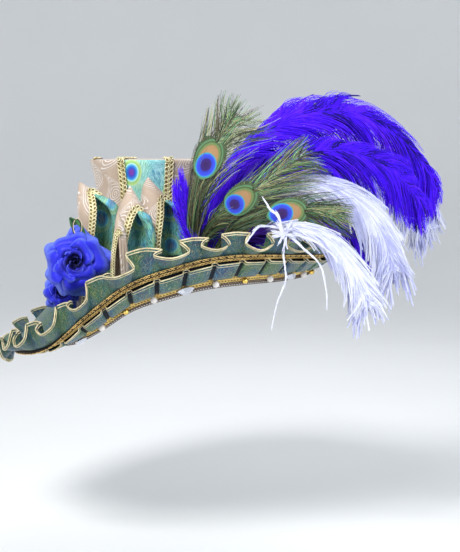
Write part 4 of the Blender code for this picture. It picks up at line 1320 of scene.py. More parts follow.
@dataclass
class FoldedPoints:
    """Cloth cones in front of the crown: brocade outside, print inside, a rolled lip and a gimp edge."""

    shapes: tuple[PointShape, ...] = (
        # name, height of the tip, way that the mouth faces, its half angle and top, the roll's radius,
        # and stations up the point: level, middle x and y, half length and half width
        PointShape("left", 98, -58, 53, 0.9, 7.2, (
            (0.0, -88, -98, 25, 22), (0.3, -86, -97, 23, 20), (0.56, -84, -96, 23, 20),
            (0.76, -87, -95, 24, 19), (0.9, -97, -91, 14, 11), (1.0, -108, -88, 0.8, 0.8))),
        PointShape("middle", 93, -62, 51, 0.74, 7.2, (
            (0.0, -36, -131, 28, 15), (0.3, -36, -128, 25.5, 14.5), (0.56, -36, -125, 23, 13.5),
            (0.76, -36, -122, 17.5, 11), (0.9, -36, -119.5, 8, 6), (1.0, -36, -118, 0.8, 0.8))),
        PointShape("right", 105, -50, 49, 0.74, 7.2, (
            (0.0, 10, -107, 32, 17), (0.3, 8, -105, 30, 16.5), (0.56, 5, -103, 27, 15),
            (0.76, -3, -100, 18, 11.5), (0.9, -9, -98, 9, 6.5), (1.0, -11, -97, 0.8, 0.8))),
        PointShape("front", 57, -100, 25, 0.78, 1.2, (
            (0.0, -49, -161, 12, 8), (0.3, -49.6, -160, 11.5, 8), (0.56, -50.4, -159, 10.5, 7.5),
            (0.76, -50, -158, 8, 6), (0.9, -51, -157.5, 4.5, 3.5), (1.0, -52, -157, 0.8, 0.8))),
    )
    seat: float = 1.9
    columns: int = 44
    rows: int = 44
    rolled: int = 14
    gimp_middle: float = 3.4
    spare: float = 30.0

    def place(self, shape: PointShape, level: float, turn: float, reach: float = 0.0) -> Vector:
        """A place on the cone's wall, by its level from foot to tip and the angle round it."""
        middle_x, middle_y, half_x, half_y = between(shape.stations, level)
        x = middle_x + (half_x + reach) * math.cos(math.radians(turn))
        y = middle_y + (half_y + reach) * math.sin(math.radians(turn))
        seat = FORM.brim_top(x, y) + self.seat
        return Vector((x, y, seat + (shape.tip - seat) * level))

    def build(self) -> None:
        """Makes the four cones and their gimps."""
        for shape in self.shapes:
            self.cone(shape)
            self.edging(shape)

    def cone(self, shape: PointShape) -> None:
        """One cone's cloth, creased from its foot, the lip of its mouth rolled outwards."""
        levels = 1 - (1 - np.linspace(0.0, 1.0, self.rows)) ** 1.15
        points = np.zeros((self.columns + self.rolled, self.rows, 3))
        for j, level in enumerate(levels):
            share = min(level / shape.top, 1.0)
            half = shape.spread * math.sqrt(1 - share**2)
            first, last = shape.mouth - half, shape.mouth + half - 360.0
            girth = max(between(shape.stations, level)[2], 3.0)
            soft = math.sin(math.pi * min(level * 1.3, 1.0))
            for i in range(self.columns):
                turn = first + (last - first) * i / (self.columns - 1)
                way = math.radians(turn)
                crease = math.sin(way * 5 + 4 * level) + 0.6 * math.sin(way * 11)
                points[i, j] = self.place(shape, level, turn, 0.8 * crease * soft)
            radius = shape.roll * (0.5 + 0.5 * share) * min(1.0, (1 - share) / 0.10) ** 0.5
            radius *= 1 + 0.07 * math.sin(17.0 * level + shape.mouth)
            for i in range(self.rolled):
                curl = math.radians(330) * (i + 1) / self.rolled
                reach = radius * (1 - math.cos(curl))
                slide = math.degrees(radius * math.sin(curl) / girth)
                points[self.columns + i, j] = self.place(shape, level, last - slide, reach)
        girths = np.stack([lengths_along(points[:, j]) for j in range(self.rows)], axis=1)
        chart = charted(girths + shape.stations[0][1] * 2, levels * (shape.tip + self.spare))
        sketch = sheet_of(points, chart)
        bmesh.ops.remove_doubles(sketch, verts=sketch.verts, dist=0.001)
        sketch.normal_update()
        back = Vector(points[self.columns // 2, 2])
        out = back - Vector((*shape.stations[0][1:3], back.z))
        near = min(sketch.faces, key=lambda face: (face.calc_center_median() - back).length)
        if near.normal.dot(out) < 0:
            bmesh.ops.reverse_faces(sketch, faces=sketch.faces)
        name = f"point_cloth_{shape.name}"
        inside = BROCADE if shape.name == "front" else POINT_PRINT
        cloth = finished(name, sketch, [BROCADE, inside], f"folded_point_{shape.name}")
        thicken(cloth, 1.0, 1)

    def edging(self, shape: PointShape) -> None:
        """The gimp up the mouth's first border and over its arch."""
        places, outs = [], []
        size = 0.72 if shape.name == "front" else 1.0
        for way in np.radians(np.linspace(2.0, 112.0, 60)):
            level = shape.top * math.sin(way)
            girth = max(between(shape.stations, level)[2], 5.0)
            aside = shape.spread + math.degrees(self.gimp_middle * size / girth)
            turn = shape.mouth - aside * math.cos(way)
            level += self.gimp_middle * size / (shape.tip + self.spare) * math.sin(way)
            places.append(tuple(self.place(shape, level, turn, 1.0)))
            outs.append(tuple(self.place(shape, level, turn, 5.0) - self.place(shape, level, turn, 0.0)))
        gimp = Gimp(5.0 * size, 3.2, long=2.9 * size, short=2.1 * size, wire=0.85 * size, step=5.2 * size)
        sketch = gimp.lay(np.array(places), np.array(outs))
        finished(f"point_gimp_braid_{shape.name}", sketch, [PALE_GIMP, SHADOW_GOLD_TAPE], f"point_gimp_{shape.name}")


@dataclass(frozen=True)
class PetalRing:
    """One ring of petals: how many, how far they reach and stand, how wide they wrap."""

    count: int
    reach: float
    height: float
    wrap: float
    curl: float


@dataclass
class Rose:
    """A cloth rose of separate petals round a heart darkened by painted shade."""

    name: str
    node: str
    centre: Triple
    radius: float
    depth: float
    seed: int
    facing: Triple = (-0.18, -0.97, 0.14)
    rings: tuple[PetalRing, ...] = (
        PetalRing(3, 0.10, 0.42, 96.0, 0.02),
        PetalRing(4, 0.22, 0.66, 70.0, 0.04),
        PetalRing(4, 0.38, 0.98, 62.0, 0.08),
        PetalRing(4, 0.57, 1.16, 58.0, 0.15),
        PetalRing(4, 0.78, 1.00, 54.0, 0.24),
        PetalRing(5, 0.96, 0.34, 44.0, 0.22),
    )
    columns: int = 19
    rows: int = 13
    curl_start: float = 0.76

    def build(self) -> None:
        """Makes the petals as one piece of petal cloth."""
        rng = np.random.default_rng(self.seed)
        face = Vector(self.facing).normalized()
        side = Vector((0, 0, 1)).cross(face).normalized()
        up = face.cross(side)
        petals = []
        phase = rng.uniform(0, 360)
        for ring in self.rings:
            phase += 180.0 / ring.count + rng.uniform(-12, 12)
            for number in range(ring.count):
                turn = phase + 360.0 * number / ring.count + rng.uniform(-9, 9)
                petals.append(self.petal(ring, turn, rng, face, side, up))
        rose = finished(self.name, together(petals), [ROSE_SATIN], self.node)
        thicken(rose, 0.5)

    def petal(self, ring: PetalRing, turn: float, rng: Random, face: Vector, side: Vector,
              up: Vector) -> Sketch:
        """One cupped petal whose rim curls back."""
        points = np.zeros((self.columns, self.rows, 3))
        chart = np.zeros((self.columns, self.rows, 2))
        reach = self.radius * ring.reach * rng.uniform(0.92, 1.06)
        height = self.depth * ring.height * rng.uniform(0.9, 1.1)
        ripple, tilt = rng.uniform(0.6, 1.2), rng.uniform(0.08, 0.26)
        for i in range(self.columns):
            across = 2 * i / (self.columns - 1) - 1
            for j in range(self.rows):
                long = j / (self.rows - 1)
                t = long * (1 - 0.17 * abs(across) ** 2.8 + 0.03 * math.sin(across * 5.0 + turn))
                out = reach * (0.06 + 0.94 * t**0.9) * (1 + tilt * across)
                lift = height * (1.6 * t - 0.62 * t * t)
                crease = math.sin(across * 9.0 + turn * 0.7) * 0.018 * self.radius * t * ring.reach
                curl = max(0.0, t - self.curl_start) / (1 - self.curl_start)
                out += self.radius * ring.curl * curl**2
                lift -= self.depth * ring.curl * 2.4 * curl**2
                wave = math.sin(across * 5.4 + turn) * 0.13 * self.radius * ring.reach * t**3 * ripple
                spread = math.radians(ring.wrap) * (0.45 + 0.55 * math.sin(math.pi * min(t, 0.75) / 1.5))
                angle = math.radians(turn) + across * spread
                flat = side * math.cos(angle) + up * math.sin(angle)
                place = Vector(self.centre) + flat * (out + wave * 0.3) + face * (
                    lift + wave + crease - self.depth * 0.25)
                place.z = max(place.z, FORM.brim_top(place.x, place.y) + 1.5)
                points[i, j] = place
                # The chart's whole number is the ring, so inner rings take more painted shade.
                chart[i, j] = (across * reach, round(ring.reach * 10) + 0.94 * long)
        return sheet_of(points, chart)


@dataclass
class Leaf:
    """The cloth leaf behind the large rose, with a loop of wire beside it."""

    stations: Table = (
        # x, y, z, half width
        (-100.4, -136.8, 20.4, 3.0),
        (-106.4, -135.8, 30.4, 7.5),
        (-113.0, -131.5, 41.0, 7.0),
        (-120.0, -131.5, 50.0, 1.2),
    )
    side: Triple = (0.86, 0.0, 0.51)
    keel: float = 1.6
    cut: float = 14.0

    def build(self) -> None:
        """Makes the leaf and its wire."""
        columns, rows = 9, 17
        points = np.zeros((columns, rows, 3))
        chart = np.zeros((columns, rows, 2))
        for j, (x, y, z, half) in enumerate(smooth_line(self.stations, rows)):
            for i in range(columns):
                across = 2 * i / (columns - 1) - 1
                fold = self.keel * (1 - abs(across)) + 0.3 * math.sin(j * 1.4 + across * 5)
                place = Vector((x, y - fold, z)) + Vector(self.side) * across * half
                points[i, j] = place
                # The chart runs the leaf from the satin's painted shade along its keel to lighter colour at
                # its edges.
                chart[i, j] = (across * half, 10.25 + 0.6 * abs(across))
        leaf = finished("leaf_cloth", sheet_of(points, chart), [LEAF_SATIN], "leaf")
        thicken(leaf, 0.7)
        turns = np.linspace(-0.35 * math.pi, 1.45 * math.pi, 30)
        loop = np.stack([-110 + 6.0 * np.cos(turns), -142 - turns * 0.3, 37 + 11 * np.sin(turns)], axis=1)
        finished("wire_loop", tube_of(loop, 0.9), [WIRE])
        finished("loop_thread", tube_of(loop + (1.3, -0.4, 0.9), 0.6), [CREAM_CORD])


@dataclass
class QuillPad:
    """The rounded pad under the feathers, covered in the print."""

    first: float = -67.0
    last: float = -46.0
    shares: tuple[float, float] = (0.3, 0.95)
    thick: float = 11.0
    seat: float = 0.9

    def build(self) -> None:
        """Makes the pad as a low dome."""
        columns, rows = 22, 28
        tops, feet = np.zeros((columns, rows, 3)), np.zeros((columns, rows, 3))
        for i in range(columns):
            angle = self.first + (self.last - self.first) * i / (columns - 1)
            hole, border = FORM.hole_radius(angle), FORM.border_radius(angle)
            for j in range(rows):
                share = self.shares[0] + (self.shares[1] - self.shares[0]) * j / (rows - 1)
                place = polar(angle, hole + share * (border - hole), 0.0)
                foot = FORM.brim_top(place.x, place.y) + self.seat
                inset = min(i, columns - 1 - i, j, rows - 1 - j) / 3.0
                dome = math.sqrt(max(0.0, 1 - max(0.0, 1 - inset) ** 2))
                feet[i, j] = (place.x, place.y, foot)
                tops[i, j] = (place.x, place.y, foot + 0.05 + self.thick * dome)
        chart = tops[..., :2] * 1.0
        whole = together([sheet_of(tops, chart), sheet_of(feet, chart)])
        bmesh.ops.remove_doubles(whole, verts=whole.verts, dist=0.2)
        bmesh.ops.recalc_face_normals(whole, faces=whole.faces)
        pad = finished("quill_pad_cover", whole, [FRILL_PRINT], "quill_pad")


# Feathers


@dataclass(frozen=True)
class Spine:
    """The line that a feather's quill follows, from its root on the pad."""

    root: Triple
    passes: Table
    widths: tuple[float, ...]
    thick: float
    face: Triple
    droop: float
    pad_top: float = 12.2

    def places(self, count: int = 240) -> Array:
        """Even shares of the curve through the root and the places that it passes."""
        angle, radius, height = self.root
        foot = polar(angle, radius, 0.0)
        foot.z = FORM.brim_top(foot.x, foot.y) + self.pad_top + height
        return smooth_line([tuple(foot), *self.passes], count)

    def width(self, share: Array) -> Array:
        """Half width at shares of the curve."""
        first = 1.0 / len(self.passes)
        table = [(i / (len(self.widths) - 1), w) for i, w in enumerate(self.widths)]
        grid = np.linspace(0, 1, 60)
        known = [between(table, at)[0] for at in grid]
        return np.interp((share - first) / (1 - first), grid, known)


PLUMES = {
    # root on the pad by angle, radius and height, places that the spine passes, half widths at equal
    # steps, thickness, way it faces, how far its barbs droop
    "blue_plume_top": Spine((-57.0, 131.0, -0.7), (
        (64, -97, 42), (106, -88, 119), (173, -66, 180), (263, -40, 202), (343, -22, 180), (402, -10, 124),
        (428, -6, 82)), (8, 36, 46, 44, 30), 5.0, (0.10, -0.75, 0.66), 22.0),
    "blue_plume_middle": Spine((-62.0, 133.0, 0.5), (
        (61, -114, 30), (126, -122, 98), (203, -122, 136), (275, -112, 142), (343, -98, 112),
        (385, -90, 66)), (8, 30, 40, 38, 26), 5.0, (0.10, -0.75, 0.66), 18.0),
    "blue_plume_lower": Spine((-55.0, 138.0, 0.3), (
        (84, -114, 8), (167, -136, 44), (249, -148, 62), (304, -148, 32), (326, -144, -8)),
        (5, 20, 33, 30, 16), 4.5, (0.30, -0.88, 0.30), 12.0),
    "white_plume_top": Spine((-50.0, 133.0, 0.0), (
        (82, -86, 16), (160, -54, 80), (266, -12, 122), (355, 14, 94), (402, 24, 54), (424, 28, 16)),
        (6, 26, 42, 42, 28), 5.0, (0.15, -0.75, 0.64), 20.0),
    "white_plume_middle": Spine((-64.5, 140.0, 0.3), (
        (64, -129, 22), (130, -152, 72), (205, -165, 98), (262, -169, 84), (302, -168, 46),
        (323, -166, 2), (332, -163, -46)), (6, 24, 32, 32, 20), 4.0, (0.05, -0.92, 0.38), 9.0),
    "white_plume_front": Spine((-58.0, 186.0, -0.3), (
        (108, -176, 12), (143, -206, 34), (182, -232, 42), (231, -236, 24), (266, -228, -20),
        (285, -219, -62), (291, -215, -90)), (4, 10, 26, 28, 16), 4.0, (0.12, -0.99, 0.08), 9.0),
    "peacock_feather_upright": Spine((-66.0, 148.0, -0.3), (
        (52, -146, 26), (56, -158, 76), (72, -162, 131), (97, -161, 173), (113, -158, 197)),
        (6, 20, 27, 22, 12), 2.2, (0.0, -1.0, 0.1), 4.0),
    "peacock_feather_middle": Spine((-64.0, 162.0, -0.3), (
        (68, -158, 20), (84, -169, 50), (113, -176, 73), (157, -178, 105), (206, -172, 139)),
        (6, 18, 24, 22, 12), 2.2, (0.0, -1.0, 0.1), 4.0),
    "peacock_feather_low": Spine((-61.0, 174.0, -0.2), (
        (86, -166, 10), (112, -184, 38), (166, -194, 56), (212, -195, 60), (250, -190, 56)),
        (5, 16, 24, 18, 10), 2.2, (0.0, -1.0, 0.1), 4.0),
}
TOP_CREST = (
    # share of the top plume's shaft, share of their full reach that its upper barbs have
    (0.0, 0.8), (0.22, 0.6), (0.36, 0.55), (0.46, 1.4), (0.57, 1.45), (0.66, 0.7), (0.8, 0.5), (1.0, 0.3),
)
EVEN_REACH = ((0.0, 1.0), (1.0, 1.0))
DOWNWARDS = np.array((0.0, 0.0, -1.0))


def drawn_out(amounts: Array) -> Array:
    """One number for each barb, spread over its places and their three coordinates."""
    return amounts[..., None, None]


@dataclass
class Feather:
    """A feather's quill, and barbs that leave it on both sides."""

    name: str
    node: str
    spine: Spine
    seed: int

    def frames(self, shares: Array) -> tuple[Array, Array, Array, Array]:
        """Place, run, side and facing of the spine at shares of its curve, straight on beyond its end."""
        line = self.spine.places()
        grid = np.linspace(0, 1, len(line))
        runs = unit(np.gradient(line, axis=0))
        place, run = (read_at(shares, grid, a) for a in (line, runs))
        beyond = np.clip(shares - 1.0, 0.0, None) * lengths_along(line)[-1]
        place = place + beyond[..., None] * runs[-1]
        run = unit(run)
        face = unit(np.array(self.spine.face))
        side = unit(np.cross(np.broadcast_to(face, run.shape), run))
        return place, run, side, np.cross(run, side)

    def swept_paths(self, shares: Array, way: Array, reach: Array, ahead: Array,
                    points: int, bend: float) -> tuple[Array, Array, Array]:
        """Barbs that leave the shaft and run on along its curve.

        Args:
            shares: where each leaves the shaft.
            way: the side that it leaves on, -1 or 1.
            reach: how far it gets from the shaft.
            ahead: how far it runs on along the shaft.
            points: places along a barb.
            bend: below 1, it spreads first and then runs along the shaft.

        Returns:
            The paths, (barbs, points, 3), and the side and facing at their places.
        """
        s = np.linspace(0, 1, points)[None]
        total = lengths_along(self.spine.places())[-1]
        place, _, side, face = self.frames(shares[:, None] + ahead[:, None] / total * s**1.1)
        paths = place + side * ((way * reach)[:, None] * s**bend)[..., None]
        return paths, side, face

    def quill(self, finish: Finish, thick: float, last: float = 1.0) -> None:
        """The bare shaft, tapering from the root to a share of the spine."""
        shares = np.linspace(0, last, 60)
        place, _, _, _ = self.frames(shares)
        finished(f"{self.name}_quill", tube_of(place, thick * (1 - 0.85 * shares) + 0.12), [finish])


def gathered(paths: Array, keys: Array, pull: float, start: float = 0.15) -> Array:
    """Draws the barbs of each lock together towards their tips.

    Args:
        paths: the barbs, (barbs, points, 3).
        keys: each barb's lock.
        pull: how close they come at the tip, 1 for altogether.
        start: share of a barb where the drawing starts.

    Returns:
        The drawn barbs.
    """
    _, lock = np.unique(keys, return_inverse=True)
    sums = np.zeros((lock.max() + 1, *paths.shape[1:]))
    np.add.at(sums, lock, paths)
    middles = sums / np.bincount(lock)[:, None, None]
    s = np.clip((np.linspace(0, 1, paths.shape[1]) - start) / (1 - start), 0, 1)
    share = pull * s * s * (3 - 2 * s)
    return paths + (middles[lock] - paths) * share[None, :, None]


@dataclass
class Plume(Feather):
    """An ostrich plume: soft barbs in drooping locks over a short down, darkened as painted shade under them.
    """

    finish: Finish = BLUE_BARBS
    barbs: int = 4600
    points: int = 8
    ahead: float = 1.5
    sag: float = 15.0
    strand: int = 130
    bunch: float = 0.72
    wisp: float = 14.0
    far: float = 12.0
    short: float = 0.0
    frizz: float = 1.1
    swing: float = 3.0
    levels: int = 2
    upright: bool = True
    crest: Table = EVEN_REACH
    skirt: Table = EVEN_REACH
    down: int = 620
    locks: int = 22

    def build(self) -> None:
        """Makes the barbs and the down as one piece each, and the shaft as another."""
        rng = np.random.default_rng(self.seed)
        self.layer(self.name, rng, self.barbs, self.points, 1.0, 1.1)
        self.layer(f"{self.name}_down", rng, self.down, 5, 0.74, 4.2)
        self.quill(self.finish, 1.3, 1.0 if self.upright else 0.85)

    def layer(self, name: str, rng: Random, count: int, points: int, size: float,
              width: float) -> None:
        """One layer of barbs on both sides of the shaft.

        Args:
            name: the piece's name.
            rng: the plume's own chance.
            count: how many barbs.
            points: places along each.
            size: their length, 1 for the outer layer.
            width: of one barb at its foot.
        """
        outer = size == 1.0
        first = 0.7 / len(self.spine.passes)
        shares = np.sort(rng.uniform(first, 0.985 - self.short / 400.0, count))
        way = np.where(rng.random(count) < 0.5, -1.0, 1.0)
        side_key = (way > 0).astype(int)
        lock = np.floor(shares * self.locks + way * 0.25).astype(int) + 1
        pull = rng.normal(0, 1, (self.locks + 4, 4))[lock]
        total = lengths_along(self.spine.places())[-1]
        wide = self.spine.width(shares) + 12.0 * np.clip(1 - 2.2 * shares, 0, 1) * self.upright
        level = rng.integers(0, self.levels, count)
        strand = np.floor((shares + rng.normal(0, 0.004, count)) * self.strand).astype(int) + 3
        strand = (strand * self.levels + level) * 2 + side_key
        odds, shade, swing = (rng.uniform(-1, 1, strand.max() + 1)[strand] for _ in range(3))
        lower = (self.frames(shares)[2][:, 2] * way < 0).astype(float)
        upper_reach, lower_reach = (np.interp(shares, *zip(*table)) for table in (self.crest, self.skirt))
        crest = upper_reach * (1 - lower) + lower_reach * lower
        full = (level + rng.uniform(0.15, 1.2, count)) / self.levels
        reach = wide * size * crest * (1 + 0.12 * pull[:, 0] + 0.16 * odds) * full
        ahead = (wide * self.ahead + 14.0) * size * (1 + 0.15 * pull[:, 1] + 0.25 * odds)
        ahead = ahead * rng.uniform(0.8, 1.15, count) * (0.62 + 0.38 * lower if self.upright else 1.0)
        far = self.far * np.clip(odds - 0.55, 0, None) / 0.45 * rng.uniform(0.6, 1.0, count)
        room = (1 - shares) * total - self.short + self.wisp * (1 + odds) * rng.uniform(0.5, 1.0, count)
        ahead = far + np.maximum(np.minimum(ahead, room), 12.0)
        paths, side, face = self.swept_paths(shares, way, reach, ahead, points, 0.78)
        s = np.linspace(0, 1, points)[None, :, None]
        sink = rng.uniform(0.35, 1.2, count) + 0.2 * pull[:, 2]
        paths = paths - face * drawn_out(self.spine.droop * sink) * s**2
        rise = self.spine.thick * (rng.uniform(-0.5, 1.0, count) if outer else np.full(count, -0.7))
        paths = paths + face * drawn_out(rise) * np.sin(math.pi * s * 0.8)
        sag = self.sag * rng.uniform(0.3, 1.4, count) * (0.35 + 0.95 * lower)
        paths = paths + DOWNWARDS * drawn_out(sag) * s**2.2
        if outer:
            waver = drawn_out(rng.normal(0, 1.2, count)) * np.sin(3.0 * s + 40 * drawn_out(shares))
            paths = gathered(paths + side * waver * s, lock * 2 + side_key, 0.22)
            paths = gathered(paths, strand, self.bunch, 0.3)
            paths = paths + side * drawn_out(self.swing * swing) * s**2.5
            sizes = drawn_out(rng.normal(0, self.frizz, (2, count)))
            curls = sizes * np.sin(8.0 * s + drawn_out(rng.uniform(0, 6.3, (2, count))))
            paths = paths + (side * curls[0] + face * curls[1]) * s
        widths = np.linspace(1.0, 0.32, points)[None] * width * rng.uniform(0.75, 1.25, (count, 1))
        facing = unit(face[:, 0] + side[:, 0] * rng.normal(0, 0.45 if outer else 0.15, (count, 1)))
        along = s[..., 0]
        # The down keeps to the dark start of the colour ramp and a low tone: painted shade under the outer
        # barbs.
        chart = charted(shares[:, None] + ahead[:, None] / total * along, along * (1.0 if outer else 0.3))
        tone = 0.5 + 0.15 * pull[:, 3] + 0.32 * shade + rng.normal(0, 0.12, count)
        tone = np.clip(tone, 0, 1) * (1.0 if outer else 0.35)
        finished(name, ribbons(paths, widths, facing, chart, tone), [self.finish], self.node)


@dataclass
class PeacockFeather(Feather):
    """A peacock feather: a close eye, then long loose barbs in strands."""

    eye_share: float = 0.6
    eye_half: float = 20.0
    loose: int = 640
    droop: float = 7.0
    right: float = 1.0
    close: int = 300

    def build(self) -> None:
        """Makes the eye's close barbs, the loose barbs and the shaft."""
        rng = np.random.default_rng(self.seed)
        self.eye(rng)
        self.strands(rng)
        self.quill(PEACOCK_SHAFT, 0.9, self.eye_share)

    def eye(self, rng: Random) -> None:
        """The close barbs that carry the eye."""
        count, points, half = self.close * 2, 10, self.eye_half
        total = lengths_along(self.spine.places())[-1]
        steps = np.linspace(-1.15, 1.05, self.close)
        shares = np.tile(self.eye_share + steps * half / total, 2)
        way = np.repeat((-1.0, 1.0), self.close)
        reach = np.tile(np.sqrt(np.clip(1 - (steps + 0.2) ** 2 / 1.9, 0.04, 1)) * half, 2)
        reach = reach * (1 + 0.15 * rng.uniform(-0.35, 0.45, count))
        ahead = reach * 0.55 * (1 + 0.15 * rng.uniform(-0.3, 0.6, count))
        paths, side, face = self.swept_paths(shares, way, reach, ahead, points, 0.85)
        paths = paths + face * 2.2
        s = np.linspace(0, 1, points)
        height = ((shares - self.eye_share) * total)[:, None] + ahead[:, None] * s**1.1
        chart = charted((way * reach)[:, None] * s**0.85, height)
        widths = np.linspace(1.0, 0.5, points)[None] * 1.25 * rng.uniform(0.8, 1.15, (count, 1))
        facing = unit(face[:, 0] + side[:, 0] * rng.normal(0, 0.15, (count, 1)))
        mesh = ribbons(paths, widths, facing, chart, rng.beta(1.6, 2.2, count))
        finished(f"{self.name}_eye", mesh, [PEACOCK_BARBS], self.node)

    def strands(self, rng: Random) -> None:
        """The long loose barbs, drawn together in strands."""
        count, points = self.loose, 12
        total = lengths_along(self.spine.places())[-1]
        shares = np.sort(rng.uniform(0.06, 0.97, count))
        way = np.where(rng.random(count) < 0.5, -1.0, 1.0)
        wide = 1.15 * self.spine.width(shares) + 4.0
        reach = wide * rng.uniform(0.0, 1.2, count) * np.where(way < 0, self.right, 1.0)
        ahead = rng.uniform(45.0, 100.0, count)
        ahead = np.minimum(ahead, (1 - shares) * total + rng.uniform(2.0, 30.0, count))
        paths, side, face = self.swept_paths(shares, way, reach, ahead, points, 0.75)
        s = np.linspace(0, 1, points)[None, :, None]
        paths = paths + face * drawn_out(rng.uniform(-5.0, 4.0, count)) * s**1.4
        paths = paths + DOWNWARDS * drawn_out(rng.uniform(0, self.droop, count)) * s**2
        paths = paths + side * drawn_out(rng.normal(0, 1.5, count)) * np.sin(4 * s)
        level = np.floor(reach / wide * 3.2).astype(int)
        keys = (np.floor(shares * 34).astype(int) * 8 + level) * 2 + (way > 0)
        paths = gathered(paths, keys, 0.7, 0.05)
        widths = np.linspace(1.0, 0.4, points)[None] * 0.8 * rng.uniform(0.8, 1.2, (count, 1))
        chart = np.full((count, points, 2), 900.0)
        tone = np.clip(rng.uniform(0, 1, keys.max() + 1)[keys] + rng.normal(0, 0.16, count), 0, 1)
        facing = unit(face[:, 0] + side[:, 0] * rng.normal(0, 0.5, (count, 1)))
        mesh = ribbons(paths, widths, facing, chart, tone)
        finished(f"{self.name}_loose", mesh, [PEACOCK_BARBS], self.node)


def stem_barbs(rng: Random, line: Array, count: int, fluff: float,
               stretch: float = 1.0) -> Array:
    """Short barbs close along one stem.

    Args:
        rng: the piece's own chance.
        line: the stem, (places, 3).
        count: how many barbs.
        fluff: how far they stand off at the stem's foot.
        stretch: their length along the stem, 1 for a close fluff.

    Returns:
        The barbs' paths, (count, points, 3).
    """
    shares = np.sort(rng.uniform(0, 0.97, count))
    grid = np.linspace(0, 1, len(line))
    runs = unit(np.gradient(line, axis=0))
    place, run = (read_at(shares, grid, a) for a in (line, runs))
    turn = rng.uniform(0, 2 * math.pi, count)
    side = unit(np.cross(run, (0.1, -1.0, 0.2)))
    other = np.cross(run, side)
    away = side * np.cos(turn)[:, None] + other * np.sin(turn)[:, None] * 0.6
    s = np.linspace(0, 1, 7)[None, :, None]
    reach = fluff * rng.uniform(0.3, 1.0, count) * (1 - 0.72 * shares)
    long = stretch * rng.uniform(6, 15, count) * (1 - 0.4 * shares)
    paths = place[:, None] + run[:, None] * drawn_out(long) * s
    return paths + away[:, None] * drawn_out(reach) * np.sin(s * 1.9)


def frond_mesh(rng: Random, sets: Sequence[Array], shades: tuple[float, float],
               tones: Sequence[Array] = ()) -> bpy.types.Mesh:
    """The ribbons of several stems' barbs.

    Args:
        rng: the piece's own chance.
        sets: each stem's barbs.
        shades: the second UV number at a barb's foot and tip.
        tones: each stem's shade numbers, drawn here where there are none.

    Returns:
        The joined mesh, in metres.
    """
    paths = np.concatenate(sets)
    count, points = paths.shape[:2]
    widths = np.linspace(0.8, 0.35, points)[None] * rng.uniform(0.7, 1.2, (count, 1))
    facing = unit(np.array((0.0, -1.0, 0.0)) + rng.normal(0, 0.4, (count, 3)))
    chart = charted(np.ones((count, 1)), np.linspace(*shades, points))
    tone = np.concatenate(tones) if len(tones) else rng.uniform(0.1, 0.9, count)
    return ribbons(paths, widths, facing, chart, tone)


@dataclass
class SideFronds:
    """Loose blue fronds that rise from the pad in front of the crown."""

    fronds: tuple[Table, ...] = (
        ((62, -140, -4), (50, -142, 20), (43, -144, 54), (39, -146, 82), (36, -147, 102)),
        ((64, -139, -4), (55, -141, 20), (48, -143, 44), (43, -145, 66), (42, -146, 84)),
        ((60, -141, -4), (47, -143, 24), (37, -145, 50), (32, -146, 70), (29, -147, 88)),
    )
    barbs: int = 420
    fluff: float = 15.0
    stretch: float = 2.6
    seed: int = 57

    def build(self) -> None:
        """Makes the fronds as one piece."""
        rng = np.random.default_rng(self.seed)
        lines = [smooth_line(passes, 60) for passes in self.fronds]
        sets = [stem_barbs(rng, line, self.barbs, self.fluff, self.stretch) for line in lines]
        finished("side_fronds", frond_mesh(rng, sets, (0.2, 0.9)), [BLUE_BARBS])


@dataclass
class WhiteTuft:
    """A knot of white fronds, each a stem with a short fluff."""

    knot: Triple = (171.2, -230.0, 38.0)
    fronds: tuple[Table, ...] = (
        ((173, -240, 30), (169, -243, 8), (171, -246, -28), (160, -246, -60), (153, -245, -94)),
        ((178, -240, 30), (192, -243, 16), (216, -246, -8), (225, -246, -40), (227, -245, -66)),
        ((180, -239, 34), (196, -242, 28), (214, -244, 20), (232, -244, 6), (238, -244, -2)),
        ((167, -238, 44), (162, -240, 54), (154, -242, 62), (148, -242, 70), (144, -242, 76)),
        ((163, -238, 40), (150, -240, 42), (137, -248, 42), (128, -251, 34), (122, -252, 26)),
    )
    barbs: int = 270
    fluff: float = 2.1
    sprigs: int = 16
    sprig_barbs: int = 40
    seed: int = 31

    def build(self) -> None:
        """Makes the fronds and the knot as one piece."""
        rng = np.random.default_rng(self.seed)
        sets, tones = [], []
        for passes in self.fronds:
            sets.append(stem_barbs(rng, smooth_line(passes, 60), self.barbs, self.fluff))
            tones.append(rng.uniform(0.3, 1.0, self.barbs))
        heart = np.array(self.knot) + (-2, -10, -6)
        for _ in range(self.sprigs):
            way = unit(rng.normal(0, 1, 3) * (1.0, 0.35, 0.8))
            line = heart + way * np.linspace(-3, rng.uniform(9, 17), 12)[:, None]
            sets.append(stem_barbs(rng, line, self.sprig_barbs, 3.0))
            tones.append(rng.uniform(0.3, 1.0, self.sprig_barbs))
        finished("tuft_fronds", frond_mesh(rng, sets, (0.3, 1.0), tones), [WHITE_BARBS], "white_tuft")


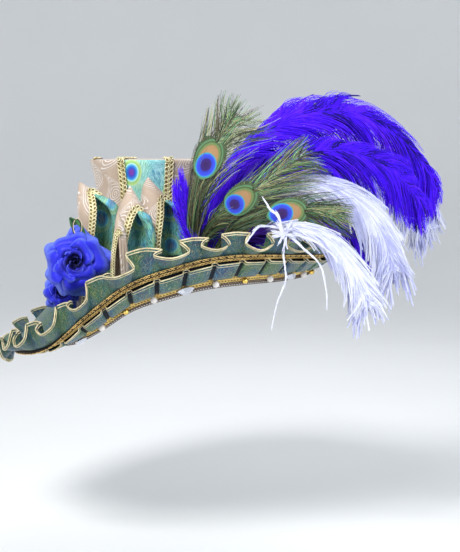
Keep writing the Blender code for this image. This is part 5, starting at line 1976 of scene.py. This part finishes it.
@dataclass
class Studio:
    """A pale floor that sweeps up far round the hat, soft lights and the camera."""

    eye: Triple = (0.0, -2.0, 0.130)
    lens: float = 86.9
    yaw: float = 3.18
    pitch: float = -4.98
    floor: float = -0.42
    bowl: Table = ((0.02, 0.0), (1.8, 0.0), (2.7, 0.03), (3.3, 0.25), (3.7, 0.75), (3.9, 1.5), (4.0, 2.7))

    def build(self) -> None:
        """Makes the stage, the lights and the camera."""
        self.stage()
        self.lights()
        camera = bpy.data.objects.new("camera", bpy.data.cameras.new("camera"))
        bpy.context.scene.collection.objects.link(camera)
        camera.data.lens = self.lens
        camera.data.clip_end = 30.0
        camera.location = self.eye
        camera.rotation_euler = (math.radians(90 + self.pitch), 0.0, math.radians(-self.yaw))
        bpy.context.scene.camera = camera

    def stage(self) -> None:
        """The round floor and the low wall that it curves up to."""
        turns = np.linspace(0, 2 * math.pi, 33)
        points = np.array([[(r * math.cos(a), r * math.sin(a), self.floor + z) for r, z in self.bowl]
                           for a in turns])
        sketch = sheet_of(points / MM)
        bmesh.ops.remove_doubles(sketch, verts=sketch.verts, dist=1.0)
        rim = [edge for edge in sketch.edges if edge.is_boundary and edge.verts[0].co.length < METRE]
        bmesh.ops.contextual_create(sketch, geom=rim)
        stage = bpy.data.objects.new("stage", to_mesh(sketch))
        bpy.context.scene.collection.objects.link(stage)
        pale = Dye("pale paper")
        grain = pale.noise(pale.place(), 3.0)
        pale.set(Base_Color=pale.mix(grain, (0.80, 0.82, 0.84), (0.84, 0.86, 0.88)), Roughness=0.9)
        stage.data.materials.append(pale.material)
        bend = stage.modifiers.new("soft bend", "SUBSURF")
        bend.levels = bend.render_levels = 2

    def lights(self) -> None:
        """A large key from the left, a fill and a rim."""
        world = bpy.data.worlds.new("studio")
        bpy.context.scene.world = world
        world.use_nodes = True
        sky = world.node_tree.nodes["Background"]
        sky.inputs["Color"].default_value = (0.86, 0.90, 0.95, 1.0)
        sky.inputs["Strength"].default_value = 0.33
        for name, place, size, power, colour in (
            ("key", (-0.9, -1.6, 1.9), 0.9, 70.0, (1.0, 0.98, 0.95)),
            ("fill", (1.6, -1.7, 0.5), 1.5, 26.0, (0.92, 0.96, 1.0)),
            ("rim", (0.4, 1.5, 1.6), 1.0, 20.0, (1.0, 1.0, 1.0)),
        ):
            lamp = bpy.data.lights.new(name, "AREA")
            lamp.size, lamp.energy, lamp.color = size, power, colour
            light = bpy.data.objects.new(name, lamp)
            bpy.context.scene.collection.objects.link(light)
            light.location = place
            aim = Vector(place) - Vector((0.1, 0, 0))
            light.rotation_euler = aim.to_track_quat("Z", "Y").to_euler()


KINDS = {
    "blue": (Plume, {"crest": ((0.0, 1.1), (0.2, 1.5), (0.45, 1.3), (1.0, 0.9)),
                     "skirt": ((0.0, 1.0), (0.6, 1.0), (0.78, 0.7), (1.0, 0.35))}),
    "white": (Plume, {"finish": WHITE_BARBS, "barbs": 3800, "ahead": 2.5, "strand": 56, "bunch": 0.95,
                      "wisp": 9.0, "swing": 8.0, "frizz": 0.6, "levels": 3, "upright": False}),
    "peacock": (PeacockFeather, {}),
}
OWN_LOOKS = {
    # what sets a feather apart from others of its kind
    "blue_plume_top": {"crest": TOP_CREST},
    "white_plume_top": {"far": 30.0, "sag": 5.0, "short": 8.0},
    "white_plume_middle": {"far": 44.0, "sag": 10.0, "short": 22.0},
    "white_plume_front": {"far": 52.0, "sag": 8.0, "short": 44.0},
    "peacock_feather_upright": {"droop": 6.0, "right": 1.6},
    "peacock_feather_middle": {"droop": 30.0, "right": 1.1},
    "peacock_feather_low": {"droop": 14.0, "eye_share": 0.65},
}
FIRST_SEED = 40


def feathers() -> list[Feather]:
    """Every feather, with the looks of its kind and its own."""
    made = []
    for seed, (node, spine) in enumerate(PLUMES.items(), FIRST_SEED):
        kind, looks = KINDS[node.partition("_")[0]]
        made.append(kind(f"{node}_barbs", node, spine, seed, **{**looks, **OWN_LOOKS.get(node, {})}))
    return made


def main(nodes: dict[str, Piece]) -> None:
    """Builds the hat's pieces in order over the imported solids, then the studio."""
    bpy.context.scene.view_settings.view_transform = "Standard"
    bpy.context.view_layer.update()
    makers = [
        Crown(),
        Brim([node for name, node in nodes.items() if name.startswith("crystal")]),
        FoldedPoints(),
        Rose("large_rose", "rose_large", (-110, -147, -12), 42, 26, 5),
        Rose("small_rose", "rose_small", (-133.3, -103.3, -58.2), 24, 15, 9),
        Leaf(),
        QuillPad(),
        *feathers(),
        SideFronds(),
        WhiteTuft(),
        Studio(),
    ]
    for maker in makers:
        maker.build()
        LOG.info("%s built", getattr(maker, "name", type(maker).__name__))


if __name__ == "__main__":
    logging.basicConfig(level=logging.INFO, format="%(message)s")
    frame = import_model()
    main(frame["nodes"])
